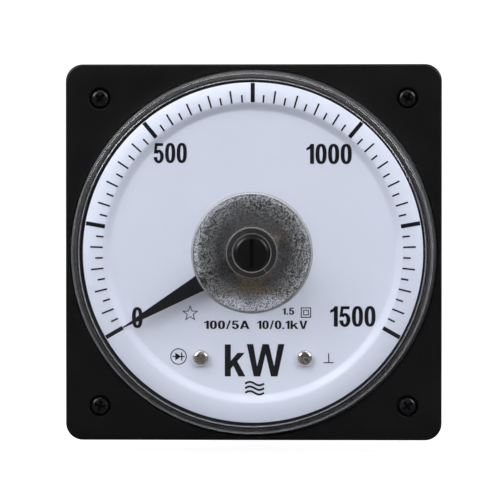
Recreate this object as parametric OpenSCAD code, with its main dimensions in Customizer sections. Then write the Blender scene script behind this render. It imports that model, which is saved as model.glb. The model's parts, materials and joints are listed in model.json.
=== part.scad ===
// Wide-angle switchboard meter: square face, clear bowl cover, 240 degree scale.
//
// Inside the modules X is right, Y is up and Z comes out of the dial, with the back of the
// flange, which rests on the panel, at Z = 0. placed() turns that so that the dial faces -Y and
// +Z is up, with the origin on the dial's axis. All lengths are in millimetres.

/* [Face] */
// Side of the square flange and of the front frame
face = 110; // [109.5:0.5:112]
// Corner radius of the flange and of the front frame
corner_r = 5; // [3:0.5:7]
// Thickness of the case's flange
flange_t = 4; // [4:0.1:4.4]
// Front face of the front frame above the panel
frame_front = 9; // [8.8:0.1:9.4]
// Pitch of the corner screws and of the panel studs, both ways
stud_pitch = 90; // [89:0.5:91]
// Length of the panel studs behind the flange
stud_length = 18; // [12:1:24]

/* [Cover] */
// Outer radius of the clear bowl where it leaves the frame
bowl_r = 53.3; // [53:0.1:53.4]
// Outer radius of the clear bowl at its front edge
bowl_front_r = 51.9; // [51.5:0.1:52.5]
// Flat front of the bowl above the panel
bowl_front = 28; // [27.8:0.1:28.5]
// Wall thickness of the bowl
cover_t = 1.8; // [1.6:0.1:1.8]
// Radius of the frosted disc in the middle of the cover
frost_r = 17.2; // [16:0.1:19]

/* [Dial] */
// Radius of the dial plate
dial_r = 49.4; // [49:0.1:49.6]
// Thickness of the dial's sheet
sheet_t = 0.8; // [0.6:0.1:0.9]
// Front of the dial's flat middle above the panel
dial_front = 15.8; // [15.6:0.1:15.9]
// Height of the raised scale ring over the middle
scale_rise = 1.4; // [1:0.1:1.5]

/* [Movement] */
// Angle that the scale spans
sweep = 240; // [220:5:240]
// Spare travel of the pointer past each end of the scale
overtravel = 1.5; // [0:0.5:1.5]
// Travel of the zero adjuster each way
zero_travel = 6; // [3:0.5:6]
// Length of the pointer from its axis
pointer_r = 43.4; // [40:0.1:44]
// Length of the balance weight on the pointer's tail
tail_weight = 1.95; // [1:0.05:3]

/* [Case] */
// Outer radius of the barrel behind the flange
barrel_r = 49; // [48.8:0.1:49.2]
// Depth of the barrel behind the flange
barrel_depth = 62; // [61:0.5:66]
// Wall thickness of the barrel
case_t = 2.5; // [2:0.1:2.5]

/* [Hidden] */
$fn = 96;

// A hair of extra length that carries a cut past a face
cut = 0.1;
// Gap left between fixed pieces that lie side by side
gap = 0.05;

// Metric screws: radius of the thread, and of the tapped hole round it
m3_r = 1.48;
m3_hole = 1.5;
m3_clear = 1.7;
m2_r = 0.98;
m2_hole = 1;
stud_r = 2.5;
stud_shoulder = 2.9;

// Front stack
frame_seat = frame_front - 2;
frame_edge = 0.6;
counterbore_r = 3.15;
opening_r = bowl_r + 0.3;
cover_plate_t = 1.6;
cover_plate = face - 2.5;
gasket_r = 52.9;
gasket_w = 1.2;
gasket_t = 1.05;
stud_head_floor = 1.2;

// Cover
bowl_edge = 1.3;
boss_rise = 1.2;
boss_edge = 0.9;
collar_r = 7.35;
collar_rise = 0.6;
boss_front = bowl_front + boss_rise;
cover_inside = bowl_front - cover_t;

// Zero adjuster
adjuster_r = 5.3;
adjuster_seat = bowl_front + 0.1;
adjuster_front = boss_front + 0.3;
stem_r = 4.2;
stem_end = 25;
running = 0.05;
clip_z = 25.33;
clip_t = 0.39;
clip_groove_r = 3.75;
pin_at = 3.4;
pin_r = 0.5;
pin_end = 22.1;

// Zero lever and front bridge
lever_z = 22.4;
lever_t = 0.5;
lever_arm_y = 5.9;
bridge_z = 21;
bridge_t = 1;
riser_y = -12.4;
riser_x = 4.2;
stop_at = 8;
stop_lead = 24.5;
stop_angle = sweep / 2 + overtravel + zero_travel + stop_lead - 90;
jewel_screw_r = 1.5;

// Dial
dial_z = dial_front - sheet_t;
scale_in = 44;
bevel_in = 41;
window_r = 16;
window_low = -12.7;
dial_screw_x = 15.1;
dial_screw_y = -30.6;

// Pointer, turned to the scale's zero
zero_angle = 90 + sweep / 2;
pointer_z = 18;
pointer_t = 0.4;
hub_z = 16.4;
arm_z = 16.9;
staff_r = 0.6;
pivot_r = 0.2;
press = 0.01;

// Magnet system
core_z = 4;
core_h = 8;
core_in = 5.6;
core_out = 9;
pole_in = 10.9;
pole_out = 16.5;
magnet_back = 13;
dead_angle = 72;
coil_w = 2.4;
window_in = 5;
window_out = 9.5;
window_gap = 0.8;
former_t = 0.25;
coil_t = 0.4;
clamp_t = 0.5;
frame_floor = -3;
frame_floor_t = 2;
ear_at = 19.5;
ear_angles = [90, 210, 330];

// Chassis, and the barrel's first stretch, which stays on the flange
spigot = 4;
chassis_z = -4.5;
chassis_t = 1.5;
chassis_r = 45.2;
chassis_top = 32;
chassis_low = -38;
boss_at = 42;
boss_r = 4;
boss_angles = [20, 160, 215, 325];

// Circuit board
board_z = -46;
board_t = 1.6;
board_x = 29;
board_y = 33;
board_top = board_z + board_t;
standoff_x = 25;
standoff_y = 29;
lead_r = 0.7;
lead_x = 25;
lead_y = 2;

// Rear wall and terminals
wall_z = -barrel_depth + 3;
block_z = -barrel_depth;
block_h = 10;
block_x = 38;
block_top = 12;
block_low = -28;
channel_w = 15;
terminal_pitch = 18;
upper_y = 2;
lower_y = -18;
barrier_y = -8;
barrier_t = 3;
floor_t = 3;
plate_t = 1.2;
block_screw_x = 33;
terminals = [
    for (i = [-1:1]) [i * terminal_pitch, upper_y],
    for (i = [-1.5:1.5]) [i * terminal_pitch, lower_y],
];

// ---------------------------------------------------------------- shared shapes

module placed() rotate([90, 0, 0]) children();

module disc(r, z0, z1) translate([0, 0, z0]) cylinder(r = r, h = z1 - z0);

module ring(r_out, r_in, z0, z1) difference() {
    disc(r_out, z0, z1);
    disc(r_in, z0 - cut, z1 + cut);
}

module plate_at(x0, x1, y0, y1, z0, z1) translate([x0, y0, z0]) cube([x1 - x0, y1 - y0, z1 - z0]);

module sector(r_out, r_in, z0, z1, middle, angle) rotate(middle - angle / 2)
    rotate_extrude(angle = angle) translate([r_in, z0]) square([r_out - r_in, z1 - z0]);

module rounded_square(side, r) {
    square([side, side - 2 * r], center = true);
    square([side - 2 * r, side], center = true);
    for (x = [-1, 1], y = [-1, 1]) translate([x, y] * (side / 2 - r)) circle(r = r);
}

// A rounded square plate whose front edges carry a chamfer, built from exact pieces
module chamfered_square(side, r, h, edge) {
    half = side / 2;
    profile = [[-half, 0], [half, 0], [half, h - edge], [half - edge, h], [edge - half, h], [-half, h - edge]];
    for (turn = [0, 90]) rotate(turn) rotate([90, 0, 0])
        linear_extrude(side - 2 * r, center = true) polygon(profile);
    for (x = [-1, 1], y = [-1, 1]) translate([x, y, 0] * (half - r)) {
        cylinder(r = r, h = h - edge);
        translate([0, 0, h - edge]) cylinder(r1 = r, r2 = r - edge, h = edge);
    }
}

module corners(pitch) for (x = [-1, 1], y = [-1, 1]) translate([x * pitch / 2, y * pitch / 2, 0]) children();

module polar(r, angles) for (a = angles) rotate(a) translate([r, 0, 0]) children();

// Screw with its head's seat at Z = 0: a domed pan head with a cross recess, and a plain shank
module pan_screw(head_r, head_h, shank_r, length) {
    arm = head_r * 0.6;
    wide = head_r * 0.2;
    difference() {
        union() {
            cylinder(r = head_r, h = head_h * 0.55);
            translate([0, 0, head_h * 0.55]) cylinder(r1 = head_r, r2 = head_r * 0.72, h = head_h * 0.45);
        }
        for (turn = [0, 90]) rotate(turn)
            plate_at(-arm, arm, -wide, wide, head_h * 0.4, head_h + cut);
    }
    translate([0, 0, -length]) cylinder(r = shank_r, h = length);
}

// Cheese head with a straight slot
module slot_screw(head_r, head_h, shank_r, length) {
    difference() {
        cylinder(r = head_r, h = head_h);
        plate_at(-head_r, head_r, -head_r * 0.15, head_r * 0.15, head_h * 0.5, head_h + cut);
    }
    translate([0, 0, -length]) cylinder(r = shank_r, h = length);
}

module hex(across, z0, z1) translate([0, 0, z0]) cylinder(r = across / sqrt(3), h = z1 - z0, $fn = 6);

function arc(x, y, r, from, to, steps = 6) =
    [for (i = [0:steps]) let (a = from + (to - from) * i / steps) [x + r * cos(a), y + r * sin(a)]];

// Flat spiral strip, from its inner end at angle start, out to r1
function spiral(r0, r1, turns, start, side, steps = 80) =
    [for (i = [0:steps]) let (t = i / steps, a = start + 360 * turns * t, r = r0 + (r1 - r0) * t + side)
        [r * cos(a), r * sin(a)]];

module hairspring(r0, r1, turns, start, z0, z1) {
    half = 0.06;
    outer = spiral(r0, r1, turns, start, half);
    inner = spiral(r0, r1, turns, start, -half);
    last = len(inner) - 1;
    translate([0, 0, z0]) linear_extrude(z1 - z0)
        polygon(concat(outer, [for (i = [0:last]) inner[last - i]]));
}

// Round wire through a list of points
module wire(points, r) {
    for (i = [1:len(points) - 1]) {
        from = points[i - 1];
        run = points[i] - from;
        flat = norm([run[0], run[1]]);
        translate(from) rotate([0, atan2(flat, run[2]), atan2(run[1], run[0])])
            cylinder(r = r, h = norm(run));
        if (i < len(points) - 1) translate(points[i]) sphere(r = r);
    }
}

// ---------------------------------------------------------------- front

module front_frame() color("#1d1d1f") placed() difference() {
    translate([0, 0, flange_t]) chamfered_square(face, corner_r, frame_front - flange_t, frame_edge);
    disc(opening_r, 0, frame_front + cut);
    translate([0, 0, frame_front - frame_edge])
        cylinder(r1 = opening_r, r2 = opening_r + frame_edge, h = frame_edge + cut / 10);
    translate([0, 0, flange_t - cut])
        linear_extrude(cover_plate_t + 0.2 + cut) rounded_square(cover_plate + 0.3, corner_r);
    corners(stud_pitch) {
        disc(m3_clear, 0, frame_front);
        disc(counterbore_r, frame_seat, frame_front + cut);
    }
}

module clear_cover() color("#dfe6ea", 0.35) placed() difference() {
    union() {
        translate([0, 0, flange_t]) linear_extrude(cover_plate_t) rounded_square(cover_plate, corner_r);
        rotate_extrude() polygon(concat(
            [[0, flange_t], [bowl_r, flange_t], [bowl_r, frame_front]],
            arc(bowl_front_r - bowl_edge, bowl_front - bowl_edge, bowl_edge, 0, 90),
            [[frost_r + 0.5, bowl_front], [frost_r, bowl_front + 0.3]],
            arc(frost_r - boss_edge, boss_front - boss_edge, boss_edge, 0, 90),
            [[collar_r, boss_front], [collar_r, boss_front + collar_rise - 0.2],
                [collar_r - 0.2, boss_front + collar_rise], [0, boss_front + collar_rise]]));
    }
    rotate_extrude() polygon(concat(
        [[0, flange_t - cut], [bowl_r - cover_t, flange_t - cut], [bowl_r - cover_t, frame_front]],
        arc(bowl_front_r - cover_t - 0.7, cover_inside - 0.6, 0.6, 0, 90),
        [[0, cover_inside]]));
    disc(adjuster_r + 0.1, adjuster_seat, boss_front + collar_rise + cut);
    disc(stem_r + running, cover_inside - cut, bowl_front + cut);
    corners(stud_pitch) disc(m3_clear, flange_t - cut, flange_t + cover_plate_t + cut);
}

module cover_gasket() color("#2a2a2a") placed()
    ring(gasket_r + gasket_w / 2, gasket_r - gasket_w / 2, flange_t - gasket_t, flange_t);

module frame_screws() color("#202022") placed()
    corners(stud_pitch) translate([0, 0, frame_seat]) pan_screw(2.7, 1.9, m3_r, 9.6);

module zero_adjuster() color("#141416") placed() {
    slot_l = adjuster_r * 0.76;
    difference() {
        union() {
            disc(adjuster_r, adjuster_seat + running, adjuster_front - 0.3);
            translate([0, 0, adjuster_front - 0.3]) cylinder(r1 = adjuster_r, r2 = adjuster_r - 0.3, h = 0.3);
            disc(stem_r, stem_end, adjuster_seat + running);
        }
        plate_at(-0.6, 0.6, -slot_l, slot_l, adjuster_front - 0.9, adjuster_front + cut);
        ring(stem_r + cut, clip_groove_r, clip_z - 0.03, clip_z + clip_t + 0.03);
    }
    translate([0, pin_at, 0]) disc(pin_r, pin_end, stem_end + cut);
}

module adjuster_clip() color("#8d8f92") placed() difference() {
    ring(5.2, clip_groove_r + 0.03, clip_z, clip_z + clip_t);
    plate_at(-2.2, 2.2, 0, 6, clip_z - cut, clip_z + clip_t + cut);
}

module adjuster_washer() color("#b58a3a") placed()
    ring(5.8, stem_r + 0.1, clip_z + clip_t + 0.03, cover_inside - 0.03);

// ---------------------------------------------------------------- dial

module dial_plate() color("#eceef2") placed() difference() {
    rotate_extrude() polygon([
        [10, dial_z], [bevel_in, dial_z], [scale_in, dial_z + scale_rise], [dial_r, dial_z + scale_rise],
        [dial_r, dial_front + scale_rise], [scale_in, dial_front + scale_rise], [bevel_in, dial_front],
        [10, dial_front]]);
    intersection() {
        disc(window_r, 0, bowl_front);
        plate_at(-window_r, window_r, window_low, window_r, 0, bowl_front);
    }
    for (x = [-1, 1]) translate([x * dial_screw_x, dial_screw_y, 0]) disc(m3_clear, 0, bowl_front);
}

module dial_screws() color("#c9c9c7") placed() for (x = [-1, 1])
    translate([x * dial_screw_x, dial_screw_y, dial_front]) rotate(20 + 30 * x) pan_screw(2.4, 1.6, m3_r, 6);

module dial_posts() color("#c2a45a") placed() for (x = [-1, 1])
    translate([x * dial_screw_x, dial_screw_y, 0]) difference() {
        union() {
            hex(5.5, chassis_z + chassis_t, dial_z);
            disc(m3_r, chassis_z, chassis_z + chassis_t + cut);
        }
        disc(m3_hole, dial_z - 7, dial_z + cut);
    }

// ---------------------------------------------------------------- case

module rear_case() color("#202023") placed() {
    inner = barrel_r - case_t;
    difference() {
        union() {
            linear_extrude(flange_t) rounded_square(face, corner_r);
            disc(barrel_r, -spigot, cut);
            disc(dial_r - 0.8, 0, dial_z + scale_rise - gap);
        }
        disc(inner, -spigot - cut, dial_front + scale_rise);
        ring(gasket_r + gasket_w / 2 + gap, gasket_r - gasket_w / 2 - gap, flange_t - gasket_t - gap, flange_t + cut);
        corners(stud_pitch) {
            hex(8.1, stud_head_floor, flange_t + cut);
            disc(stud_shoulder + 0.02, -cut, stud_head_floor + cut);
        }
    }
}

module case_barrel() color("#202023") placed() {
    inner = barrel_r - case_t;
    ring(barrel_r, inner, wall_z + gap, -spigot - gap);
    polar(boss_at, boss_angles) difference() {
        union() {
            disc(boss_r, wall_z + gap, chassis_z);
            plate_at(boss_r - 1, inner - boss_at + 0.5, -1, 1, wall_z + gap, chassis_z - 3);
        }
        disc(m3_hole, chassis_z - 9, chassis_z + cut);
    }
}

module case_back() color("#202023") placed() difference() {
    disc(barrel_r, -barrel_depth, wall_z);
    for (t = terminals) translate([t[0], t[1], 0]) disc(2.2, -barrel_depth - cut, wall_z + cut);
    for (x = [-1, 1]) translate([x * block_screw_x, upper_y, 0])
        disc(m3_hole, -barrel_depth - cut, wall_z + cut);
    standoff_places() disc(m3_hole, -barrel_depth - cut, wall_z + cut);
}

module panel_studs() color("#b9bbbd") placed() corners(stud_pitch) difference() {
    union() {
        hex(7.9, stud_head_floor + gap, flange_t - 0.1);
        disc(stud_shoulder, 0, stud_head_floor + gap);
        disc(stud_r, -stud_length + 0.6, 0);
        translate([0, 0, -stud_length]) cylinder(r1 = stud_r - 0.6, r2 = stud_r, h = 0.6);
    }
    disc(m3_hole, -3, flange_t);
}

module chassis_plate() color("#b4b6b6") placed() difference() {
    intersection() {
        disc(chassis_r, chassis_z, chassis_z + chassis_t);
        plate_at(-chassis_r, chassis_r, chassis_low, chassis_top, chassis_z - cut, 0);
    }
    disc(4, chassis_z - cut, 0);
    polar(boss_at, boss_angles) disc(m3_clear, chassis_z - cut, 0);
    polar(ear_at, ear_angles) disc(m2_hole, chassis_z - cut, 0);
    for (x = [-1, 1]) translate([x * dial_screw_x, dial_screw_y, 0]) disc(m3_hole, chassis_z - cut, 0);
    for (x = [-1, 1]) translate([x * lead_x, lead_y, 0]) disc(2, chassis_z - cut, 0);
}

module chassis_screws() color("#c9c9c7") placed()
    polar(boss_at, boss_angles) translate([0, 0, chassis_z + chassis_t]) pan_screw(2.6, 1.8, m3_r, 8);

// ---------------------------------------------------------------- movement, fixed pieces

module movement_frame() color("#a9abac") placed() {
    top = frame_floor + frame_floor_t;
    difference() {
        union() {
            disc(pole_out, frame_floor, top);
            ring(pole_out, magnet_back + 0.5, top - cut, core_z);
            polar(ear_at, ear_angles) disc(3.2, frame_floor, top);
            polar(pole_out - 1, ear_angles) plate_at(0, ear_at - pole_out + 1, -3.2, 3.2, frame_floor, top);
        }
        disc(jewel_screw_r, frame_floor - cut, top + cut);
        polar(ear_at, ear_angles) disc(m2_hole, frame_floor - cut, top + cut);
    }
    translate([0, 6.2, 0]) disc(0.4, top - cut, 1);
}

module movement_screws() color("#c9c9c7") placed() polar(ear_at, ear_angles)
    translate([0, 0, frame_floor + frame_floor_t]) slot_screw(1.9, 1.3, m2_r, 3.4);

module pole_ring() color("#7d7f82") placed() difference() {
    ring(pole_out, pole_in, core_z, core_z + core_h);
    sector(magnet_back + gap, pole_in - 1, core_z - cut, core_z + core_h + cut, 90, dead_angle + 1);
    polar(14.6, [246, 294]) disc(m2_hole, core_z + 3, core_z + core_h + cut);
}

module core_ring() color("#6f7174") placed() difference() {
    ring(core_out, core_in, core_z, core_z + core_h);
    sector(core_out + 1, core_in - 1, core_z - cut, core_z + core_h + cut, 90 + dead_angle / 2 + 4, 4);
}

module magnet() color("#4b4c50") placed()
    sector(magnet_back, core_out + gap, core_z, core_z + core_h, 90, dead_angle);

module front_bridge() color("#b08d3e") placed() {
    foot_z = core_z + core_h;
    foot_t = 1.4;
    stop = stop_at * [cos(stop_angle), -sin(stop_angle)];
    difference() {
        union() {
            sector(16.4, 11.6, foot_z, foot_z + foot_t, 270, 68);
            plate_at(-riser_x, riser_x, riser_y, riser_y + 1, foot_z + foot_t - cut, bridge_z + bridge_t);
            plate_at(-3.2, 3.2, riser_y, 0, bridge_z, bridge_z + bridge_t);
            plate_at(-5, 5, stop[1] - 1, stop[1] + 1, bridge_z, bridge_z + bridge_t);
            disc(3.2, bridge_z, bridge_z + bridge_t);
        }
        disc(jewel_screw_r, bridge_z - cut, bridge_z + bridge_t + cut);
        polar(14.6, [246, 294]) disc(m2_hole + 0.1, foot_z - cut, foot_z + foot_t + cut);
        for (x = [-1, 1]) translate([x * stop[0], stop[1], 0])
            disc(0.36, bridge_z - cut, bridge_z + bridge_t + cut);
    }
}

module bridge_screws() color("#c9c9c7") placed() polar(14.6, [246, 294])
    translate([0, 0, core_z + core_h + 1.4]) slot_screw(1.6, 1.1, m2_r, 5);

module pointer_stops() color("#303034") placed() for (x = [-1, 1])
    translate([x * stop_at * cos(stop_angle), -stop_at * sin(stop_angle), 0]) {
        disc(0.5, pointer_z, bridge_z);
        disc(0.35, bridge_z - cut, bridge_z + bridge_t);
    }

module front_jewel_screw() color("#c7a24a") placed() difference() {
    union() {
        disc(jewel_screw_r, bridge_z - 0.2, lever_z + lever_t + 0.3);
        disc(2.2, lever_z + lever_t + 0.2, lever_z + lever_t + 0.9);
    }
    disc(0.8, bridge_z - 0.3, bridge_z + 0.85);
    plate_at(-2.2, 2.2, -0.3, 0.3, lever_z + lever_t + 0.5, lever_z + lever_t + 1);
}

module rear_jewel_screw() color("#c7a24a") placed() difference() {
    disc(jewel_screw_r - 0.01, -4.3, -0.5);
    disc(0.8, -1.55, -0.4);
    plate_at(-2, 2, -0.3, 0.3, -4.4, -3.8);
}

module jewel_lock_nut() color("#c7a24a") placed() difference() {
    hex(5, -4.2, frame_floor);
    disc(jewel_screw_r, -4.5, 0);
}

module jewels() color("#c2305a") placed() {
    difference() {
        disc(0.78, bridge_z - 0.1, bridge_z + 0.8);
        disc(0.26, bridge_z - 0.2, bridge_z + 0.6);
    }
    difference() {
        disc(0.78, -1.5, -0.6);
        disc(0.26, -1.3, -0.5);
    }
}

module zero_lever() color("#cfae55") placed() {
    slot = pin_r + running;
    difference() {
        union() {
            disc(2.6, lever_z, lever_z + lever_t);
            plate_at(-1.5, 1.5, 0, lever_arm_y + 0.7, lever_z, lever_z + lever_t);
            plate_at(-0.6, 0.6, lever_arm_y, lever_arm_y + 0.7, 19.6, lever_z + lever_t);
        }
        disc(jewel_screw_r + 0.06, lever_z - cut, lever_z + lever_t + cut);
        plate_at(-slot, slot, pin_at - 0.7, pin_at + 0.7, lever_z - cut, lever_z + lever_t + cut);
    }
}

// ---------------------------------------------------------------- moving element

module staff() color("#9fa2a6") placed() {
    disc(staff_r, -0.1, bridge_z - 0.5);
    disc(pivot_r, -1.1, 0);
    disc(pivot_r, bridge_z - 0.6, bridge_z + 0.4);
}

module pointer_hub() color("#3a3a3d") placed() difference() {
    union() {
        disc(2.2, hub_z, pointer_z);
        disc(1.4, pointer_z - cut, pointer_z + pointer_t + 0.5);
    }
    disc(staff_r + press, hub_z - cut, pointer_z + 2);
    for (turn = [0, 90, 180]) rotate(zero_angle + 90 + turn) translate([1.2, 0, arm_z])
        rotate([0, 90, 0]) cylinder(r = 0.36, h = 2);
}

module pointer() color("#101012") placed() translate([0, 0, pointer_z]) rotate(zero_angle) difference() {
    // Radius along the blade and its half width there
    edge = [[0, 1.7], [2, 1.7], [9, 2.5], [18, 2.42], [36.5, 0.9], [40.3, 0.45], [pointer_r, 0.17]];
    last = len(edge) - 1;
    linear_extrude(pointer_t) union() {
        circle(r = 2.4);
        polygon(concat(edge, [for (i = [0:last]) [edge[last - i][0], -edge[last - i][1]]]));
    }
    disc(1.4 + press, -cut, pointer_t + cut);
}

module balance_arms() color("#8a8c90") placed() for (turn = [0, 90, 180])
    rotate(zero_angle + 90 + turn) translate([1.25, 0, arm_z]) rotate([0, 90, 0])
        cylinder(r = 0.35, h = turn == 90 ? 9 : 6.5);

module balance_weights() color("#c7a24a") placed() for (turn = [0, 90, 180])
    rotate(zero_angle + 90 + turn) translate([turn == 90 ? 6.6 : 5.5, 0, arm_z]) rotate([0, 90, 0])
        difference() {
            cylinder(r = 0.95, h = turn == 90 ? tail_weight : 1.4);
            translate([0, 0, -cut]) cylinder(r = 0.36, h = 4);
        }

// Rectangular loop round the core, in the plane that holds the axis and the coil's direction
module coil_loop(grow, t) {
    low = core_z - window_gap - grow;
    high = core_z + core_h + window_gap + grow;
    difference() {
        plate_at(window_in - grow - t, window_out + grow + t, -coil_w / 2, coil_w / 2, low - t, high + t);
        plate_at(window_in - grow, window_out + grow, -coil_w, coil_w, low, high);
    }
}

module coil_former() color("#c4c6c8") placed() rotate(zero_angle - 180) coil_loop(0, former_t);

module moving_coil() color("#b5622b") placed() rotate(zero_angle - 180) coil_loop(former_t, coil_t);

module coil_clamps() color("#2f2f33") placed() rotate(zero_angle - 180) {
    out = window_gap + former_t + coil_t;
    for (z = [core_z - out - clamp_t, core_z + core_h + out]) difference() {
        union() {
            disc(1.8, z, z + clamp_t);
            plate_at(0, window_out, -coil_w / 2, coil_w / 2, z, z + clamp_t);
        }
        disc(staff_r + press, z - cut, z + clamp_t + cut);
    }
}

module front_hairspring() color("#c98f4a") placed() {
    ring(1.3, staff_r + press, 19.2, 20.1);
    hairspring(1.25, 5.7, 3.5, 270, 19.5, 19.9);
}

module rear_hairspring() color("#c98f4a") placed() {
    ring(1.3, staff_r + press, 0.3, 1.2);
    hairspring(1.25, 5.6, 3.5, 270, 0.5, 0.9);
}

// ---------------------------------------------------------------- electronics

module circuit_board() color("#1f6b3a") placed() difference() {
    plate_at(-board_x, board_x, -board_y, board_y, board_z, board_top);
    standoff_places() disc(m3_clear, board_z - cut, board_top + cut);
}

module standoff_places() for (x = [-1, 1], y = [-1, 1])
    translate([x * standoff_x, y * standoff_y, 0]) children();

module board_standoffs() color("#c2a45a") placed() standoff_places() difference() {
    union() {
        hex(5.5, wall_z, board_z);
        disc(m3_r, -barrel_depth + 0.5, wall_z + cut);
    }
    disc(m3_hole, board_z - 7, board_z + cut);
}

module board_screws() color("#c9c9c7") placed() standoff_places()
    translate([0, 0, board_top]) pan_screw(2.6, 1.8, m3_r, 6);

module current_transformers() color("#27406e") placed() for (x = [-13, 13]) translate([x, 20, board_top]) difference() {
    linear_extrude(18) {
        square([20, 12], center = true);
        square([16, 16], center = true);
        for (i = [-1, 1], j = [-1, 1]) translate([i * 8, j * 6]) circle(r = 2);
    }
    translate([0, 10, 10]) rotate([90, 0, 0]) cylinder(r = 3.5, h = 20);
}

module transformer_core() color("#55575b") placed() translate([-14, -16, board_top]) difference() {
    plate_at(-12, 12, -6, 6, 0, 20);
    for (x = [-1, 1]) plate_at(x * 6 - 2.5, x * 6 + 2.5, -7, 7, 3.5, 16.5);
}

module transformer_bobbin() color("#d9c27a") placed() translate([-14, -16, board_top]) difference() {
    plate_at(-8.3, 8.3, -10, 10, 3.7, 16.3);
    plate_at(-3.6, 3.6, -6.1, 6.1, 3, 17);
    for (y = [-1, 1]) translate([0, y * 8.1, 0]) plate_at(-13, 13, -2.05, 2.05, 3, 3.6);
}

module filter_capacitors() color("#2b3f78") placed() for (i = [0:2])
    translate([6 + i * 9, 3, 0]) disc(4, board_top, board_top + 12);

module converter_chips() color("#1a1a1c") placed() for (x = [4, 14], y = [-9, -22])
    translate([x, y, board_top]) plate_at(-3.2, 3.2, -5, 5, 0.5, 3.8);

module resistors() color("#caa06a") placed() for (i = [0:6])
    translate([-25 + 4 * i, 4.5, board_top + 1.2]) rotate([90, 0, 0]) cylinder(r = 1.1, h = 6);

module trimmers() color("#2d63b5") placed() for (y = [-10, -20]) translate([24, y, board_top]) difference() {
    plate_at(-2.4, 2.4, -4.5, 4.5, 0, 10);
    translate([0, 2, 9.4]) cylinder(r = 1.4, h = 1);
}

module movement_leads() color("#a32f2c") placed() for (x = [-1, 1])
    wire([[x * lead_x, lead_y, board_top + (x > 0 ? 13 : 4)], [x * lead_x, lead_y, -1],
        [x * (pole_out + 1), lead_y, 1.6]], lead_r);

module terminal_leads() color("#c27a3a") placed() for (t = terminals)
    translate([t[0], t[1], 0]) disc(0.9, wall_z + 2.1, board_z);

// ---------------------------------------------------------------- terminals

module terminal_block() color("#232326") placed() difference() {
    plate_at(-block_x, block_x, block_low, block_top, block_z - block_h, block_z);
    for (t = terminals) {
        up = t[1] > barrier_y;
        y0 = up ? barrier_y + barrier_t / 2 : block_low - cut;
        y1 = up ? block_top + cut : barrier_y - barrier_t / 2;
        plate_at(t[0] - channel_w / 2, t[0] + channel_w / 2, y0, y1, block_z - block_h - cut, block_z - floor_t);
        translate([t[0], t[1], 0]) disc(2.1, block_z - block_h, block_z + cut);
    }
    for (x = [-1, 1]) translate([x * block_screw_x, upper_y, 0]) {
        disc(m3_clear, block_z - block_h - cut, block_z + cut);
        disc(3.2, block_z - block_h - cut, block_z - block_h + 3);
    }
}

module block_screws() color("#c9c9c7") placed() for (x = [-1, 1])
    translate([x * block_screw_x, upper_y, block_z - block_h + 3]) rotate([180, 0, 0]) pan_screw(2.6, 1.8, m3_r, 9);

module terminal_plates() color("#c7a24a") placed() for (t = terminals) translate([t[0], t[1], 0]) difference() {
    plate_at(-6, 6, -6, 6, block_z - floor_t - plate_t, block_z - floor_t);
    disc(2.1, block_z - block_h, block_z);
}

module wire_clamps() color("#b9bbbd") placed() for (t = terminals) translate([t[0], t[1], 0]) difference() {
    plate_at(-4.8, 4.8, -4.8, 4.8, block_z - floor_t - 2 * plate_t, block_z - floor_t - plate_t);
    disc(2.1, block_z - block_h, block_z);
}

module terminal_screws() color("#c9c9c7") placed() for (t = terminals)
    translate([t[0], t[1], block_z - floor_t - 2 * plate_t]) rotate([180, 0, 0]) pan_screw(3.6, 2.6, 1.98, 10.4);

front_frame();
clear_cover();
cover_gasket();
frame_screws();
zero_adjuster();
adjuster_clip();
adjuster_washer();
dial_plate();
dial_screws();
dial_posts();
rear_case();
case_barrel();
case_back();
panel_studs();
chassis_plate();
chassis_screws();
movement_frame();
movement_screws();
pole_ring();
core_ring();
magnet();
front_bridge();
bridge_screws();
pointer_stops();
front_jewel_screw();
rear_jewel_screw();
jewel_lock_nut();
jewels();
zero_lever();
staff();
pointer_hub();
pointer();
balance_arms();
balance_weights();
coil_former();
moving_coil();
coil_clamps();
front_hairspring();
rear_hairspring();
circuit_board();
board_standoffs();
board_screws();
current_transformers();
transformer_core();
transformer_bobbin();
filter_capacitors();
converter_chips();
resistors();
trimmers();
movement_leads();
terminal_leads();
terminal_block();
block_screws();
terminal_plates();
wire_clamps();
terminal_screws();
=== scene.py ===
"""Looks of a wide-angle switchboard meter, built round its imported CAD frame.

The instrument's own axes are X right, Y up and Z out of the dial, in millimetres, with the back of
the flange at Z = 0. Every mesh is shaped along those axes, and PLACED turns it into the row's frame
in metres, where the dial faces -Y and the movement sits behind it along +Y.
"""

import json
import logging
import math
from dataclasses import dataclass
from enum import Enum
from functools import lru_cache
from typing import Any, Callable, Iterable, Optional, Sequence, Union

import bmesh
import bpy
from mathutils import Matrix, Vector


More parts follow.
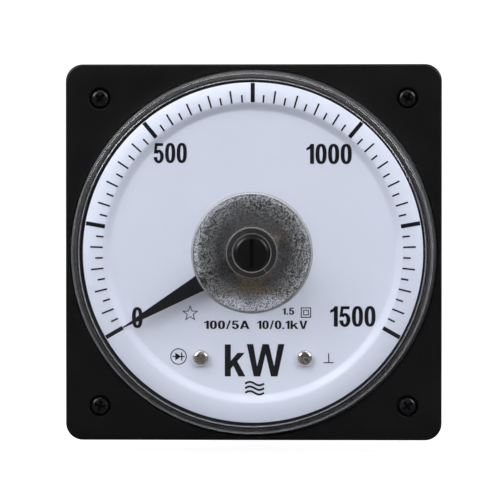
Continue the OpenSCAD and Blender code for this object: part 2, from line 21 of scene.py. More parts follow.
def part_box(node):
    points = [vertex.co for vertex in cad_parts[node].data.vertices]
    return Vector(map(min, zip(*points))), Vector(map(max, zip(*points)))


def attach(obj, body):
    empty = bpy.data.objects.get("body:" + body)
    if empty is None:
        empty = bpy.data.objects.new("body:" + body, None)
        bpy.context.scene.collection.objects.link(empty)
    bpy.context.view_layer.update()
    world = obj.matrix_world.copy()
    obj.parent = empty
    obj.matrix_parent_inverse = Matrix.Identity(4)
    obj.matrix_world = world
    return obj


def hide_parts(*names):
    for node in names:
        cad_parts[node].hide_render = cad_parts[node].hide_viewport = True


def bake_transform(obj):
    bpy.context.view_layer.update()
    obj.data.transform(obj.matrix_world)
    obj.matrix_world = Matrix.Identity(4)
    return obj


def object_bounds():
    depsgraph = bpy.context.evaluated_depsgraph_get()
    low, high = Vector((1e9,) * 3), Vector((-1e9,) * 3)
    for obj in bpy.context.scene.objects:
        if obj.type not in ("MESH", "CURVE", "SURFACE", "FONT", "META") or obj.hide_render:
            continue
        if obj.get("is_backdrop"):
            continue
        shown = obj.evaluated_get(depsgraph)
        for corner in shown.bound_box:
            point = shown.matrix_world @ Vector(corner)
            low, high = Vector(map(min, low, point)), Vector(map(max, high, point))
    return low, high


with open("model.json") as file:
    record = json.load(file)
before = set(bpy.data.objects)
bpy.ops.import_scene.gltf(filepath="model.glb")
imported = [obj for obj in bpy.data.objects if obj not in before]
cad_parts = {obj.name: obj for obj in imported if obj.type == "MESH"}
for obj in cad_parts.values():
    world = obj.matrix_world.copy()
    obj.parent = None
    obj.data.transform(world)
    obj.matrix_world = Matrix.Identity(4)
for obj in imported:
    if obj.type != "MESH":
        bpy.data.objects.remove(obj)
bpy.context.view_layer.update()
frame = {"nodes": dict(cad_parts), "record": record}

MM = 0.001
PLACED = Matrix(((MM, 0, 0, 0), (0, 0, -MM, 0), (0, MM, 0, 0), (0, 0, 0, 1)))
Point = Sequence[float]
Outline = list[tuple[float, float]]
Colour = tuple[float, float, float]
log = logging.getLogger("meter")


# ------------------------------------------------------------------ places taken from the frame


@dataclass(frozen=True)
class Extent:
    """A CAD node's box along the instrument's axes, in millimetres."""

    low: Vector
    high: Vector

    @property
    def size(self) -> Vector:
        """Width, height and depth of the box."""
        return self.high - self.low


@lru_cache(maxsize=None)
def extent(node: str) -> Extent:
    """Measure a CAD node.

    Args:
        node: the node's name.

    Returns:
        Its box along the instrument's axes.
    """
    low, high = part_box(node)
    return Extent(Vector((low.x, low.z, -high.y)) / MM, Vector((high.x, high.z, -low.y)) / MM)


# ------------------------------------------------------------------ node graphs


class Sig:
    """A socket whose value takes part in Python arithmetic."""

    def __init__(self, graph: "Graph", socket: bpy.types.NodeSocket) -> None:
        """Wrap one socket of a graph."""
        self.graph = graph
        self.socket = socket

    def do(self, operation: str, *others: Any) -> "Sig":
        """Apply a Math operation to this value and the others."""
        return self.graph.math(operation, self, *others)

    def __add__(self, other: Any) -> "Sig":
        """This value plus another."""
        return self.do("ADD", other)

    def __radd__(self, other: Any) -> "Sig":
        """Another value plus this one."""
        return self.do("ADD", other)

    def __sub__(self, other: Any) -> "Sig":
        """This value minus another."""
        return self.do("SUBTRACT", other)

    def __rsub__(self, other: Any) -> "Sig":
        """Another value minus this one."""
        return self.graph.math("SUBTRACT", other, self)

    def __mul__(self, other: Any) -> "Sig":
        """This value times another."""
        return self.do("MULTIPLY", other)

    def __rmul__(self, other: Any) -> "Sig":
        """Another value times this one."""
        return self.do("MULTIPLY", other)

    def __truediv__(self, other: Any) -> "Sig":
        """This value over another."""
        return self.do("DIVIDE", other)

    def __rtruediv__(self, other: Any) -> "Sig":
        """Another value over this one."""
        return self.graph.math("DIVIDE", other, self)

    def __mod__(self, other: Any) -> "Sig":
        """What is left of this value after whole steps of another."""
        return self.do("FLOORED_MODULO", other)

    def __lt__(self, other: Any) -> "Sig":
        """One where this value is less than another, and zero elsewhere."""
        return self.do("LESS_THAN", other)

    def __gt__(self, other: Any) -> "Sig":
        """One where this value is more than another, and zero elsewhere."""
        return self.do("GREATER_THAN", other)

    def least(self, other: Any) -> "Sig":
        """The smaller of this value and another."""
        return self.do("MINIMUM", other)

    def most(self, other: Any) -> "Sig":
        """The larger of this value and another."""
        return self.do("MAXIMUM", other)

    def ramp(self, start: float, end: float, low: float = 0.0, high: float = 1.0) -> "Sig":
        """Ease from low to high while this value goes from start to end.

        Args:
            start: the value at which the ramp begins.
            end: the value at which it ends.
            low: the result before start.
            high: the result after end.

        Returns:
            The eased value.
        """
        spread = self.graph.node(
            "ShaderNodeMapRange", {"interpolation_type": "SMOOTHSTEP"},
            {"Value": self, "From Min": start, "From Max": end, "To Min": low, "To Max": high})
        return Sig(self.graph, spread.outputs[0])


class Graph:
    """A node tree that is being wired."""

    def __init__(self, tree: bpy.types.NodeTree) -> None:
        """Start on an empty tree."""
        self.tree = tree

    def feed(self, socket: bpy.types.NodeSocket, value: Any) -> None:
        """Give a socket its value, or link what drives it.

        Args:
            socket: the input socket.
            value: a number, colour, name or data block, or a Sig, node or socket to link.
        """
        if isinstance(value, bpy.types.Node):
            value = value.outputs[0]
        if isinstance(value, Sig):
            value = value.socket
        if isinstance(value, bpy.types.NodeSocket):
            self.tree.links.new(value, socket)
        else:
            socket.default_value = value

    def node(self, kind: str, settings: Optional[dict[str, Any]] = None,
             inputs: Optional[dict[Union[str, int], Any]] = None) -> bpy.types.Node:
        """Add a node.

        Args:
            kind: the node's type.
            settings: its properties, set before its sockets.
            inputs: values or links of its sockets, by name or number.

        Returns:
            The new node.
        """
        node = self.tree.nodes.new(kind)
        for name, value in (settings or {}).items():
            setattr(node, name, value)
        for name, value in (inputs or {}).items():
            self.feed(node.inputs[name], value)
        return node

    def math(self, operation: str, *values: Any) -> Sig:
        """Add a Math node.

        Args:
            operation: its operation.
            values: numbers or signals for its inputs.

        Returns:
            Its result.
        """
        result = self.node("ShaderNodeMath", {"operation": operation}, dict(enumerate(values)))
        return Sig(self, result.outputs[0])

    def parts(self, vector: Any) -> list[Sig]:
        """The X, Y and Z of a vector."""
        split = self.node("ShaderNodeSeparateXYZ", None, {0: vector})
        return [Sig(self, output) for output in split.outputs]

    def vector(self, x: Any, y: Any, z: Any) -> Sig:
        """A vector from its X, Y and Z."""
        return Sig(self, self.node("ShaderNodeCombineXYZ", None, {0: x, 1: y, 2: z}).outputs[0])


class Shader(Graph):
    """A surface material, with patterns measured in millimetres of the row's frame."""

    def __init__(self, name: str) -> None:
        """Start an empty material.

        Args:
            name: the material's name.
        """
        self.material = bpy.data.materials.new(name)
        self.material.use_nodes = True
        self.material.node_tree.nodes.clear()
        super().__init__(self.material.node_tree)

    def place(self, stretch: Point = (1, 1, 1), turn: Point = (0, 0, 0)) -> Sig:
        """Where a point lies on the object, in millimetres.

        Args:
            stretch: how much coarser the pattern is along each axis.
            turn: angles by which the pattern is turned, in degrees.

        Returns:
            The position, for a texture's Vector.
        """
        where = self.node("ShaderNodeTexCoord").outputs["Object"]
        scale = tuple(1 / MM / s for s in stretch)
        mapping = self.node("ShaderNodeMapping", {"vector_type": "POINT"}, {
            "Vector": where, "Scale": scale, "Rotation": tuple(math.radians(a) for a in turn)})
        return Sig(self, mapping.outputs[0])

    def noise(self, grain: float, detail: float = 2.0, at: Optional[Sig] = None) -> Sig:
        """Soft random patches.

        Args:
            grain: the patches' size in millimetres.
            detail: how many finer layers there are.
            at: where to read the pattern.

        Returns:
            Values from 0 to 1.
        """
        noise = self.node("ShaderNodeTexNoise", None, {
            "Vector": at or self.place(), "Scale": 1 / grain, "Detail": detail})
        return Sig(self, noise.outputs[0])

    def pebbles(self, grain: float) -> Sig:
        """Distance to the nearest cell centre, in cells.

        Args:
            grain: the cells' size in millimetres.

        Returns:
            Values from 0 in the middle of a cell to about 0.8 between cells.
        """
        cells = self.node("ShaderNodeTexVoronoi", {"feature": "SMOOTH_F1"}, {
            "Vector": self.place(), "Scale": 1 / grain, "Smoothness": 0.35})
        return Sig(self, cells.outputs["Distance"])

    def stripes(self, pitch: float, axis: str, turn: Point = (0, 0, 0)) -> Sig:
        """Even round ridges across an axis.

        Args:
            pitch: their pitch in millimetres.
            axis: X, Y or Z of the row's frame.
            turn: angles by which they are turned, in degrees.

        Returns:
            Values from 0 to 1.
        """
        x, y, z = self.parts(self.place(turn=turn))
        along = {"X": x, "Y": y, "Z": z}[axis]
        return (along * (2 * math.pi / pitch)).do("SINE") * 0.5 + 0.5

    def blend(self, share: Any, first: Any, second: Any) -> Sig:
        """Mix two colours.

        Args:
            share: how much of the second there is.
            first: a colour.
            second: another colour.

        Returns:
            The mixed colour.
        """
        mix = self.node("ShaderNodeMix", {"data_type": "RGBA"}, {
            0: share, 6: opaque(first), 7: opaque(second)})
        return Sig(self, mix.outputs[2])

    def bump(self, height: Sig, depth: float, under: Optional[Sig] = None, strength: Any = 1.0) -> Sig:
        """Relief from a height.

        Args:
            height: values from 0 to 1.
            depth: the relief's depth in millimetres.
            under: a coarser relief below it.
            strength: its share, which may vary.

        Returns:
            The normal.
        """
        inputs = {"Height": height, "Distance": depth * MM, "Strength": strength}
        if under is not None:
            inputs["Normal"] = under
        return Sig(self, self.node("ShaderNodeBump", None, inputs).outputs[0])

    def principled(self, inputs: dict[str, Any]) -> bpy.types.Node:
        """Add the Principled shader with those inputs."""
        colour = opaque(inputs.pop("Base Color"))
        return self.node("ShaderNodeBsdfPrincipled", None, {"Base Color": colour, **inputs})

    def finish(self, surface: Any) -> bpy.types.Material:
        """Link the surface and return the material."""
        self.node("ShaderNodeOutputMaterial", None, {"Surface": surface})
        return self.material


def opaque(colour: Any) -> Any:
    """A plain colour with its alpha, and anything else as it is."""
    return (*colour, 1.0) if isinstance(colour, tuple) else colour


class Tree(Graph):
    """A Geometry Nodes tree with named inputs, which grows one plain mesh."""

    def __init__(self, name: str) -> None:
        """Start a tree.

        Args:
            name: the tree's name.
        """
        super().__init__(bpy.data.node_groups.new(name, "GeometryNodeTree"))
        self.values: dict[str, Any] = {}
        self.tree.interface.new_socket("Geometry", in_out="OUTPUT", socket_type="NodeSocketGeometry")
        self.entry = self.tree.nodes.new("NodeGroupInput")

    def given(self, name: str, value: Any, kind: str = "Float") -> Sig:
        """Declare a named input.

        Args:
            name: the input's name.
            value: what the modifier sets it to.
            kind: Float, Int, Object or Material.

        Returns:
            The input, for use in the tree.
        """
        socket = self.tree.interface.new_socket(name, in_out="INPUT", socket_type="NodeSocket" + kind)
        self.values[socket.identifier] = value
        return Sig(self, self.entry.outputs[name])

    def index(self) -> Sig:
        """The number of each point."""
        return Sig(self, self.node("GeometryNodeInputIndex").outputs[0])

    def random(self, most: Any, seed: int) -> Sig:
        """A random number for each point.

        Args:
            most: its upper bound.
            seed: the fixed seed.

        Returns:
            Values from 0 to most.
        """
        value = self.node("FunctionNodeRandomValue", {"data_type": "FLOAT"}, {2: 0.0, 3: most, 8: seed})
        return Sig(self, value.outputs[1])

    def repeat(self, points: Any, shape: Any, turn: Any, scale: Any = (1, 1, 1)) -> bpy.types.Node:
        """Put a shape at each point.

        Args:
            points: the points.
            shape: the geometry.
            turn: each copy's rotation.
            scale: each copy's scale.

        Returns:
            The node that holds the copies.
        """
        return self.node("GeometryNodeInstanceOnPoints", None, {
            "Points": points, "Instance": shape, "Rotation": turn, "Scale": scale})

    def moved(self, shape: Any, shift: Any = (0, 0, 0), turn: Any = (0, 0, 0)) -> bpy.types.Node:
        """Shift and turn a geometry."""
        return self.node("GeometryNodeTransform", None, {
            "Geometry": shape, "Translation": shift, "Rotation": turn})

    def together(self, *shapes: Any) -> bpy.types.Node:
        """Join several geometries.

        Args:
            shapes: the geometries.

        Returns:
            The node that holds them all.
        """
        join = self.node("GeometryNodeJoinGeometry")
        for shape in shapes:
            self.feed(join.inputs[0], shape)
        return join

    def solid(self, shape: Any) -> bpy.types.Node:
        """Turn the copies into real geometry."""
        return self.node("GeometryNodeRealizeInstances", None, {0: shape})

    def grow(self, shape: Any, material: bpy.types.Material) -> bpy.types.Mesh:
        """Close the tree and evaluate it.

        Args:
            shape: the geometry that leaves the tree.
            material: what its faces wear.

        Returns:
            The plain mesh, along the instrument's axes.
        """
        finish = self.given("Finish", material, "Material")
        dressed = self.node("GeometryNodeSetMaterial", None, {
            "Geometry": self.solid(shape), "Material": finish})
        self.node("NodeGroupOutput", None, {0: dressed})
        carrier = bpy.data.objects.new(self.tree.name, bpy.data.meshes.new(self.tree.name))
        bpy.context.scene.collection.objects.link(carrier)
        modifier = carrier.modifiers.new("Grow", "NODES")
        modifier.node_group = self.tree
        for identifier, value in self.values.items():
            modifier[identifier] = value
        return harvest(carrier)


# ------------------------------------------------------------------ meshes


def harvest(thing: bpy.types.Object) -> bpy.types.Mesh:
    """Take an object's evaluated shape and delete the object.

    Args:
        thing: a mesh, curve or text object.

    Returns:
        Its final mesh.
    """
    if thing.name not in bpy.context.scene.collection.objects:
        bpy.context.scene.collection.objects.link(thing)
    bpy.context.view_layer.update()
    graph = bpy.context.evaluated_depsgraph_get()
    mesh = bpy.data.meshes.new_from_object(thing.evaluated_get(graph))
    thing.modifiers.clear()
    bpy.data.objects.remove(thing)
    return mesh


def shaped(verts: Iterable[Point], faces: Iterable[Sequence[int]]) -> bpy.types.Mesh:
    """Make a closed mesh with its faces turned outwards.

    Args:
        verts: the vertices.
        faces: the faces' vertex numbers.

    Returns:
        The mesh, with doubles merged.
    """
    mesh = bpy.data.meshes.new("shape")
    mesh.from_pydata([tuple(v) for v in verts], [], [tuple(f) for f in faces])
    work = bmesh.new()
    work.from_mesh(mesh)
    bmesh.ops.remove_doubles(work, verts=work.verts, dist=1e-5)
    bmesh.ops.recalc_face_normals(work, faces=work.faces)
    work.to_mesh(mesh)
    work.free()
    return mesh


def loft(loops: Sequence[Sequence[Point]], ring: bool = False) -> bpy.types.Mesh:
    """Skin a run of loops that all have the same number of points.

    Args:
        loops: the loops, in order along the surface; a loop at a pole repeats one point.
        ring: whether the last loop joins the first.

    Returns:
        The closed mesh.
    """
    count = len(loops[0])
    verts = [p for loop in loops for p in loop]
    faces = []
    for row in range(len(loops) if ring else len(loops) - 1):
        here, after = row * count, (row + 1) % len(loops) * count
        for i in range(count):
            j = (i + 1) % count
            faces.append((here + i, here + j, after + j, after + i))
    return shaped(verts, faces)


def circle(radius: float) -> Callable[[float], float]:
    """A circle, as the distance from the axis at each angle."""
    return lambda angle: radius


def rounded_square(half: float, corner: float) -> Callable[[float], float]:
    """A square with round corners, as the distance from the axis at each angle.

    Args:
        half: half the side.
        corner: the corners' radius.

    Returns:
        A function of the angle in radians.
    """
    def distance(angle: float) -> float:
        """How far out the edge lies.

        Args:
            angle: the angle in radians.

        Returns:
            The distance from the axis.
        """
        c, s = abs(math.cos(angle)), abs(math.sin(angle))
        at = half - corner
        side = half / max(c, s)
        if min(c, s) * side <= at:
            return side
        along = at * (c + s)
        return along + math.sqrt(max(along * along - 2 * at * at + corner * corner, 0.0))

    return distance


def polar_angles(corner_half: float = 0.0) -> list[float]:
    """Angles round the axis, closer together where a square has its corners.

    Args:
        corner_half: half the angle that a round corner spans, or 0 for even steps.

    Returns:
        256 angles in radians.
    """
    if not corner_half:
        return [i * math.tau / 256 for i in range(256)]
    angles = []
    for quarter in range(4):
        middle = math.pi / 4 + quarter * math.pi / 2
        angles += [middle + corner_half * (i / 8 - 1) for i in range(16)]
        rest = math.pi / 2 - 2 * corner_half
        angles += [middle + corner_half + rest * i / 48 for i in range(48)]
    return angles


def polar_loft(rings: Sequence[tuple[Callable[[float], float], float]], angles: Sequence[float],
               ring: bool = True) -> bpy.types.Mesh:
    """Skin rings that lie round the axis.

    Args:
        rings: for each, its distance from the axis at an angle, and its height.
        angles: the angles at which they are sampled.
        ring: whether the last ring joins the first.

    Returns:
        The closed mesh.
    """
    return loft([[(r(a) * math.cos(a), r(a) * math.sin(a), z) for a in angles] for r, z in rings], ring)


def turned(profile: Sequence[Point], steps: int = 96) -> bpy.types.Mesh:
    """Turn a profile round the axis.

    Args:
        profile: radius and height of each point; it is closed unless it starts and ends on the axis.
        steps: how many flats make the round.

    Returns:
        The closed mesh.
    """
    angles = [i * math.tau / steps for i in range(steps)]
    open_ended = profile[0][0] == 0 and profile[-1][0] == 0
    return polar_loft([(circle(r), z) for r, z in profile], angles, not open_ended)


def corner_arc(x: float, y: float, radius: float, start: float, end: float, steps: int = 5) -> Outline:
    """Points along an arc.

    Args:
        x: the centre across.
        y: the centre up.
        radius: the arc's radius.
        start: its first angle in degrees.
        end: its last angle in degrees.
        steps: how many stretches it has.

    Returns:
        The points.
    """
    turns = [math.radians(start + (end - start) * i / steps) for i in range(steps + 1)]
    return [(x + radius * math.cos(a), y + radius * math.sin(a)) for a in turns]


def slab(outlines: Sequence[Outline], low: float, high: float, edge: float = 0.0) -> bpy.types.Mesh:
    """Fill flat outlines, the first of them less the others, between two heights.

    Args:
        outlines: the outer outline and then any holes.
        low: the lower height.
        high: the upper height.
        edge: radius of its rounded edges.

    Returns:
        The closed mesh.
    """
    flat = bpy.data.curves.new("outline", "CURVE")
    flat.dimensions, flat.fill_mode = "2D", "BOTH"
    flat.extrude = (high - low) / 2 - edge
    flat.bevel_depth, flat.bevel_resolution, flat.offset = edge, 2, -edge
    for outline in outlines:
        spline = flat.splines.new("POLY")
        spline.points.add(len(outline) - 1)
        for point, (x, y) in zip(spline.points, outline):
            point.co = (x, y, 0, 1)
        spline.use_cyclic_u = True
    mesh = harvest(bpy.data.objects.new("outline", flat))
    mesh.transform(Matrix.Translation((0, 0, (low + high) / 2)))
    return mesh


def joined(meshes: Iterable[bpy.types.Mesh]) -> bpy.types.Mesh:
    """Put several meshes into one.

    Args:
        meshes: the meshes, which are used up.

    Returns:
        One mesh that holds them all.
    """
    work = bmesh.new()
    for mesh in meshes:
        work.from_mesh(mesh)
        bpy.data.meshes.remove(mesh)
    whole = bpy.data.meshes.new("joined")
    work.to_mesh(whole)
    work.free()
    return whole


def moved(mesh: bpy.types.Mesh, shift: Point = (0, 0, 0), turn: float = 0.0) -> bpy.types.Mesh:
    """Turn a mesh about the axis and shift it.

    Args:
        mesh: the mesh, changed in place.
        shift: how far it goes.
        turn: the angle in degrees.

    Returns:
        The same mesh.
    """
    mesh.transform(Matrix.Translation(shift) @ Matrix.Rotation(math.radians(turn), 4, "Z"))
    return mesh


def drills(radius: float, low: float, high: float,
           places: Iterable[tuple[float, float]]) -> list[bpy.types.Mesh]:
    """Round tools that cut straight holes.

    Args:
        radius: the holes' radius.
        low: where they start.
        high: where they end.
        places: where they stand.

    Returns:
        One tool for each place.
    """
    profile = [(0, low), (radius, low), (radius, high), (0, high)]
    return [moved(turned(profile, 32), (x, y, 0)) for x, y in places]


def draped(mesh: bpy.types.Mesh, lift: Callable[[float], float]) -> bpy.types.Mesh:
    """Lay a flat mesh over a surface that rises with the distance from the axis.

    The mesh is cut every half millimetre, so that it can bend.

    Args:
        mesh: the flat mesh, changed in place.
        lift: the surface's rise at a distance from the axis.

    Returns:
        The same mesh.
    """
    grid = 0.5
    work = bmesh.new()
    work.from_mesh(mesh)
    for axis in (0, 1):
        places = [v.co[axis] for v in work.verts]
        for step in range(math.floor(min(places) / grid) + 1, math.ceil(max(places) / grid)):
            at, normal = [0.0, 0.0, 0.0], [0.0, 0.0, 0.0]
            at[axis], normal[axis] = step * grid, 1.0
            bmesh.ops.bisect_plane(work, geom=[*work.verts, *work.edges, *work.faces], dist=1e-5,
                                   plane_co=at, plane_no=normal)
    for v in work.verts:
        v.co.z += lift(math.hypot(v.co.x, v.co.y))
    work.to_mesh(mesh)
    work.free()
    return mesh


def carved(mesh: bpy.types.Mesh, tools: Iterable[bpy.types.Mesh]) -> bpy.types.Mesh:
    """Cut closed tools out of a closed mesh.

    Args:
        mesh: what is cut.
        tools: what is taken away.

    Returns:
        What is left.
    """
    block = bpy.data.objects.new("block", mesh)
    bpy.context.scene.collection.objects.link(block)
    cutters = []
    for tool in tools:
        cutter = bpy.data.objects.new("cutter", tool)
        bpy.context.scene.collection.objects.link(cutter)
        cut = block.modifiers.new("Cut", "BOOLEAN")
        cut.operation, cut.solver, cut.object = "DIFFERENCE", "EXACT", cutter
        cutters.append(cutter)
    left = harvest(block)
    for cutter in cutters:
        bpy.data.objects.remove(cutter)
    return left


def softened(node: str, width: float, chosen: Callable[[Vector], bool]) -> bpy.types.Mesh:
    """Copy a CAD node's mesh and round the edges that are chosen.

    Args:
        node: the CAD node.
        width: how far back from the edge the rounding starts.
        chosen: tells from a vertex whether edges between such vertices are rounded.

    Returns:
        The mesh along the instrument's axes.
    """
    work = bmesh.new()
    work.from_mesh(frame["nodes"][node].data)
    bmesh.ops.transform(work, matrix=PLACED.inverted(), verts=work.verts)
    bmesh.ops.remove_doubles(work, verts=work.verts, dist=1e-3)
    bmesh.ops.dissolve_limit(work, angle_limit=math.radians(0.5), verts=work.verts, edges=work.edges)
    sharp = [e for e in work.edges
             if len(e.link_faces) == 2 and e.calc_face_angle(0) > math.radians(25)
             and all(chosen(v.co) for v in e.verts)]
    bmesh.ops.bevel(work, geom=sharp, offset=width, segments=3, profile=0.5, affect="EDGES")
    mesh = bpy.data.meshes.new(node)
    work.to_mesh(mesh)
    work.free()
    return mesh


def piece(name: str, mesh: bpy.types.Mesh, finish: "Finish", body: str, stands_for: Sequence[str] = (),
          crease: float = 30.0) -> bpy.types.Object:
    """Set a finished mesh in its place as a piece of the meter.

    Args:
        name: the piece's name.
        mesh: its mesh along the instrument's axes.
        finish: what it wears.
        body: the CAD body that carries it.
        stands_for: the CAD nodes that it stands for.
        crease: edges sharper than this many degrees stay sharp.

    Returns:
        The new object.
    """
    mesh.transform(PLACED)
    mesh.materials.clear()
    mesh.materials.append(finish.material())
    mesh.shade_smooth()
    mesh.set_sharp_from_angle(angle=math.radians(crease))
    mesh.name = name
    thing = bpy.data.objects.new(name, mesh)
    bpy.context.scene.collection.objects.link(thing)
    if body:
        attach(thing, body)
    if stands_for:
        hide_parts(*stands_for)
    log.info("%s: %d faces on %s", name, len(mesh.polygons), body or "a blend")
    return thing


# ------------------------------------------------------------------ finishes


@dataclass(frozen=True)
class Finish:
    """A finish for one of the record's material slots."""

    slot: str

    def material(self) -> bpy.types.Material:
        """The finish's material, built once."""
        name = self.slot + "_finish"
        return bpy.data.materials.get(name) or self.build(Shader(name))

    def build(self, shader: Shader) -> bpy.types.Material:
        """Wire the material.

        Args:
            shader: the empty material.

        Returns:
            The finished material.
        """
        raise NotImplementedError


@dataclass(frozen=True)
class Moulded(Finish):
    """Moulded plastic or rubber with a fine grain and faint flow marks."""

    colour: Colour = (0.012, 0.012, 0.013)
    roughness: float = 0.42
    grain: float = 0.35
    depth: float = 0.012
    mottle: float = 0.25
    coat: float = 0.0
    shine: float = 0.5

    def build(self, shader: Shader) -> bpy.types.Material:
        """Wire the moulded surface.

        Args:
            shader: the empty material.

        Returns:
            The finished material.
        """
        flow = shader.noise(9.0, 3)
        fine = shader.noise(self.grain, 3)
        dark = tuple(c * (1 - self.mottle) for c in self.colour)
        light = tuple(min(1.0, c * (1 + self.mottle)) for c in self.colour)
        dusty = tuple(min(1.0, c * 2.5 + 0.01) for c in self.colour)
        dust = shader.noise(0.9, 4).ramp(0.66, 0.8) * 0.35
        body = shader.blend(flow, dark, light)
        normal = shader.bump(fine, self.depth, shader.bump(shader.noise(2.2, 2), self.depth * 2))
        return shader.finish(shader.principled({
            "Base Color": shader.blend(dust * fine, body, dusty),
            "Roughness": flow * 0.1 + fine * 0.08 + (self.roughness - 0.09),
            "Specular IOR Level": self.shine,
            "Coat Weight": self.coat, "Coat Roughness": 0.08, "Normal": normal}))


class Lay(Enum):
    """Which way the fine marks of a metal surface run."""

    CAST = (1.0, 1.0, 1.0)
    TURNED = (1.0, 6.0, 1.0)
    ROLLED = (12.0, 1.0, 1.0)


@dataclass(frozen=True)
class Metal(Finish):
    """Bare, plated or varnished metal with fine marks and uneven tarnish."""

    colour: Colour = (0.6, 0.6, 0.6)
    tarnish: Colour = (0.35, 0.34, 0.33)
    roughness: float = 0.3
    lay: Lay = Lay.CAST
    marks: float = 0.004
    metallic: float = 1.0

    def build(self, shader: Shader) -> bpy.types.Material:
        """Wire the metal.

        Args:
            shader: the empty material.

        Returns:
            The finished material.
        """
        stain = shader.noise(3.0, 4).ramp(0.45, 0.75)
        scratch = shader.noise(0.16, 3, shader.place(stretch=self.lay.value))
        return shader.finish(shader.principled({
            "Base Color": shader.blend(stain * 0.6, self.colour, self.tarnish),
            "Metallic": self.metallic,
            "Roughness": stain * 0.14 + scratch * 0.12 + (self.roughness - 0.08),
            "Normal": shader.bump(scratch, self.marks)}))


@dataclass(frozen=True)
class Paint(Finish):
    """Sprayed or printed paint with a trace of orange peel."""

    colour: Colour = (0.75, 0.77, 0.82)
    shade: Colour = (0.72, 0.75, 0.81)
    roughness: float = 0.5
    shine: float = 0.5
    peel: float = 0.004

    def build(self, shader: Shader) -> bpy.types.Material:
        """Wire the paint.

        Args:
            shader: the empty material.

        Returns:
            The finished material.
        """
        cloud = shader.noise(14.0, 3)
        peel = shader.noise(0.6, 2)
        fibre = shader.noise(0.12, 2)
        return shader.finish(shader.principled({
            "Base Color": shader.blend(cloud * 0.8 + fibre * 0.2, self.colour, self.shade),
            "Roughness": peel * 0.12 + (self.roughness - 0.06), "Specular IOR Level": self.shine,
            "Normal": shader.bump(peel, self.peel)}))


@dataclass(frozen=True)
class ClearPlastic(Finish):
    """Clear moulded plastic with a pebbled disc and a satin wall, with painted glints and painted shade
    specks on the disc, a painted highlight ring round its rim and a painted highlight line at each edge of
    its collar.
    """

    frost_out: float = 17.3
    rim: float = 16.9
    frost_in: float = 7.45
    front: float = 28.05
    wall_in: float = 50.3
    wall_front: float = 27.2
    collar: float = 7.35
    seat: float = 5.4
    # width of each painted highlight line at the collar's edges
    line: float = 0.28
    pebble: float = 0.3
    depth: float = 0.045

    def build(self, shader: Shader) -> bpy.types.Material:
        """Wire the clear plastic, which lets lamps through to what is behind it.

        Args:
            shader: the empty material.

        Returns:
            The finished material.
        """
        x, y, z = shader.parts(shader.place())
        out = (x * x + z * z).do("SQRT")
        raised = y < -self.front
        frosted = (out > self.frost_in) * (out < self.frost_out) * raised
        hub = (out < self.frost_in) * raised
        # painted highlight: a milky ring along the pebbled disc's rounded rim
        rim = out.ramp(self.rim - 0.2, self.rim + 0.2) * (out < self.frost_out) * raised
        # painted highlight: a thin milky line at each edge of the collar
        painted_highlight_lines = ((out > self.collar - self.line) * (out < self.collar + 0.1)).most(
            (out > self.seat - 0.05) * (out < self.seat + self.line)) * raised
        # the wall is satin-rough, and its small milky share is partly haze and partly painted sheen
        wall = out.ramp(self.wall_in, self.wall_in + 0.4) * (y > -self.wall_front)
        grain = shader.noise(self.pebble, 0)
        coarse = out.ramp(9.0, 16.0)
        # painted glints: milky specks on the pebbled disc, more of them towards its rim
        light = grain.ramp(0.52, 0.68) * frosted * (0.06 + coarse * 0.5)
        # painted shade: dark specks on the pebbled disc for the shaded movement behind it
        dark = grain.ramp(0.55, 0.36) * frosted * (0.68 + coarse * 0.27)
        relief = shader.bump(shader.pebbles(self.pebble) + grain, self.depth, strength=frosted)
        # the disc's painted shade specks darken the clear plastic's colour, and the hub is tinted dark
        painted_shade_and_hub_tint = shader.blend(dark.most(hub), (0.985, 0.99, 1.0), (0.02, 0.02, 0.021))
        clear = shader.principled({
            "Base Color": painted_shade_and_hub_tint, "Roughness": frosted * 0.3 + wall * 0.1,
            "IOR": 1.49, "Transmission Weight": 1.0, "Normal": relief})
        # a milky white surface that carries the painted glints, the painted highlights, the wall's haze with
        # its painted sheen, and the hub's lift
        milky_haze_and_painted_glints = shader.principled({
            "Base Color": (0.86, 0.86, 0.88), "Roughness": 0.3 + grain * 0.2, "Normal": relief})
        # how much milky white each painted glint, painted highlight, the wall and the hub get
        share = light.most(rim * 0.75).most(wall * 0.1).most(painted_highlight_lines * 0.24).most(hub * 0.035)
        solid = shader.node("ShaderNodeMixShader", None, {0: share, 1: clear, 2: milky_haze_and_painted_glints})
        shine = shader.node("ShaderNodeBsdfTransparent", None, {"Color": (0.97, 0.98, 1.0, 1.0)})
        rays = shader.node("ShaderNodeLightPath").outputs["Is Shadow Ray"]
        return shader.finish(shader.node("ShaderNodeMixShader", None, {0: rays, 1: solid, 2: shine}))


@dataclass(frozen=True)
class Wound(Finish):
    """Enamelled wire or tape in even turns, with painted shade in the grooves between the turns."""

    colour: Colour = (0.45, 0.16, 0.06)
    # painted shade: the colour in the grooves between the turns
    groove: Colour = (0.16, 0.05, 0.02)
    pitch: float = 0.2
    axis: str = "Z"
    turn: Point = (0, 0, 0)
    metallic: float = 0.9

    def build(self, shader: Shader) -> bpy.types.Material:
        """Wire the winding.

        Args:
            shader: the empty material.

        Returns:
            The finished material.
        """
        turns = shader.stripes(self.pitch, self.axis, self.turn)
        return shader.finish(shader.principled({
            "Base Color": shader.blend(turns, self.groove, self.colour),
            "Metallic": self.metallic, "Roughness": 0.38 - turns * 0.1,
            "Normal": shader.bump(turns, self.pitch / 4)}))


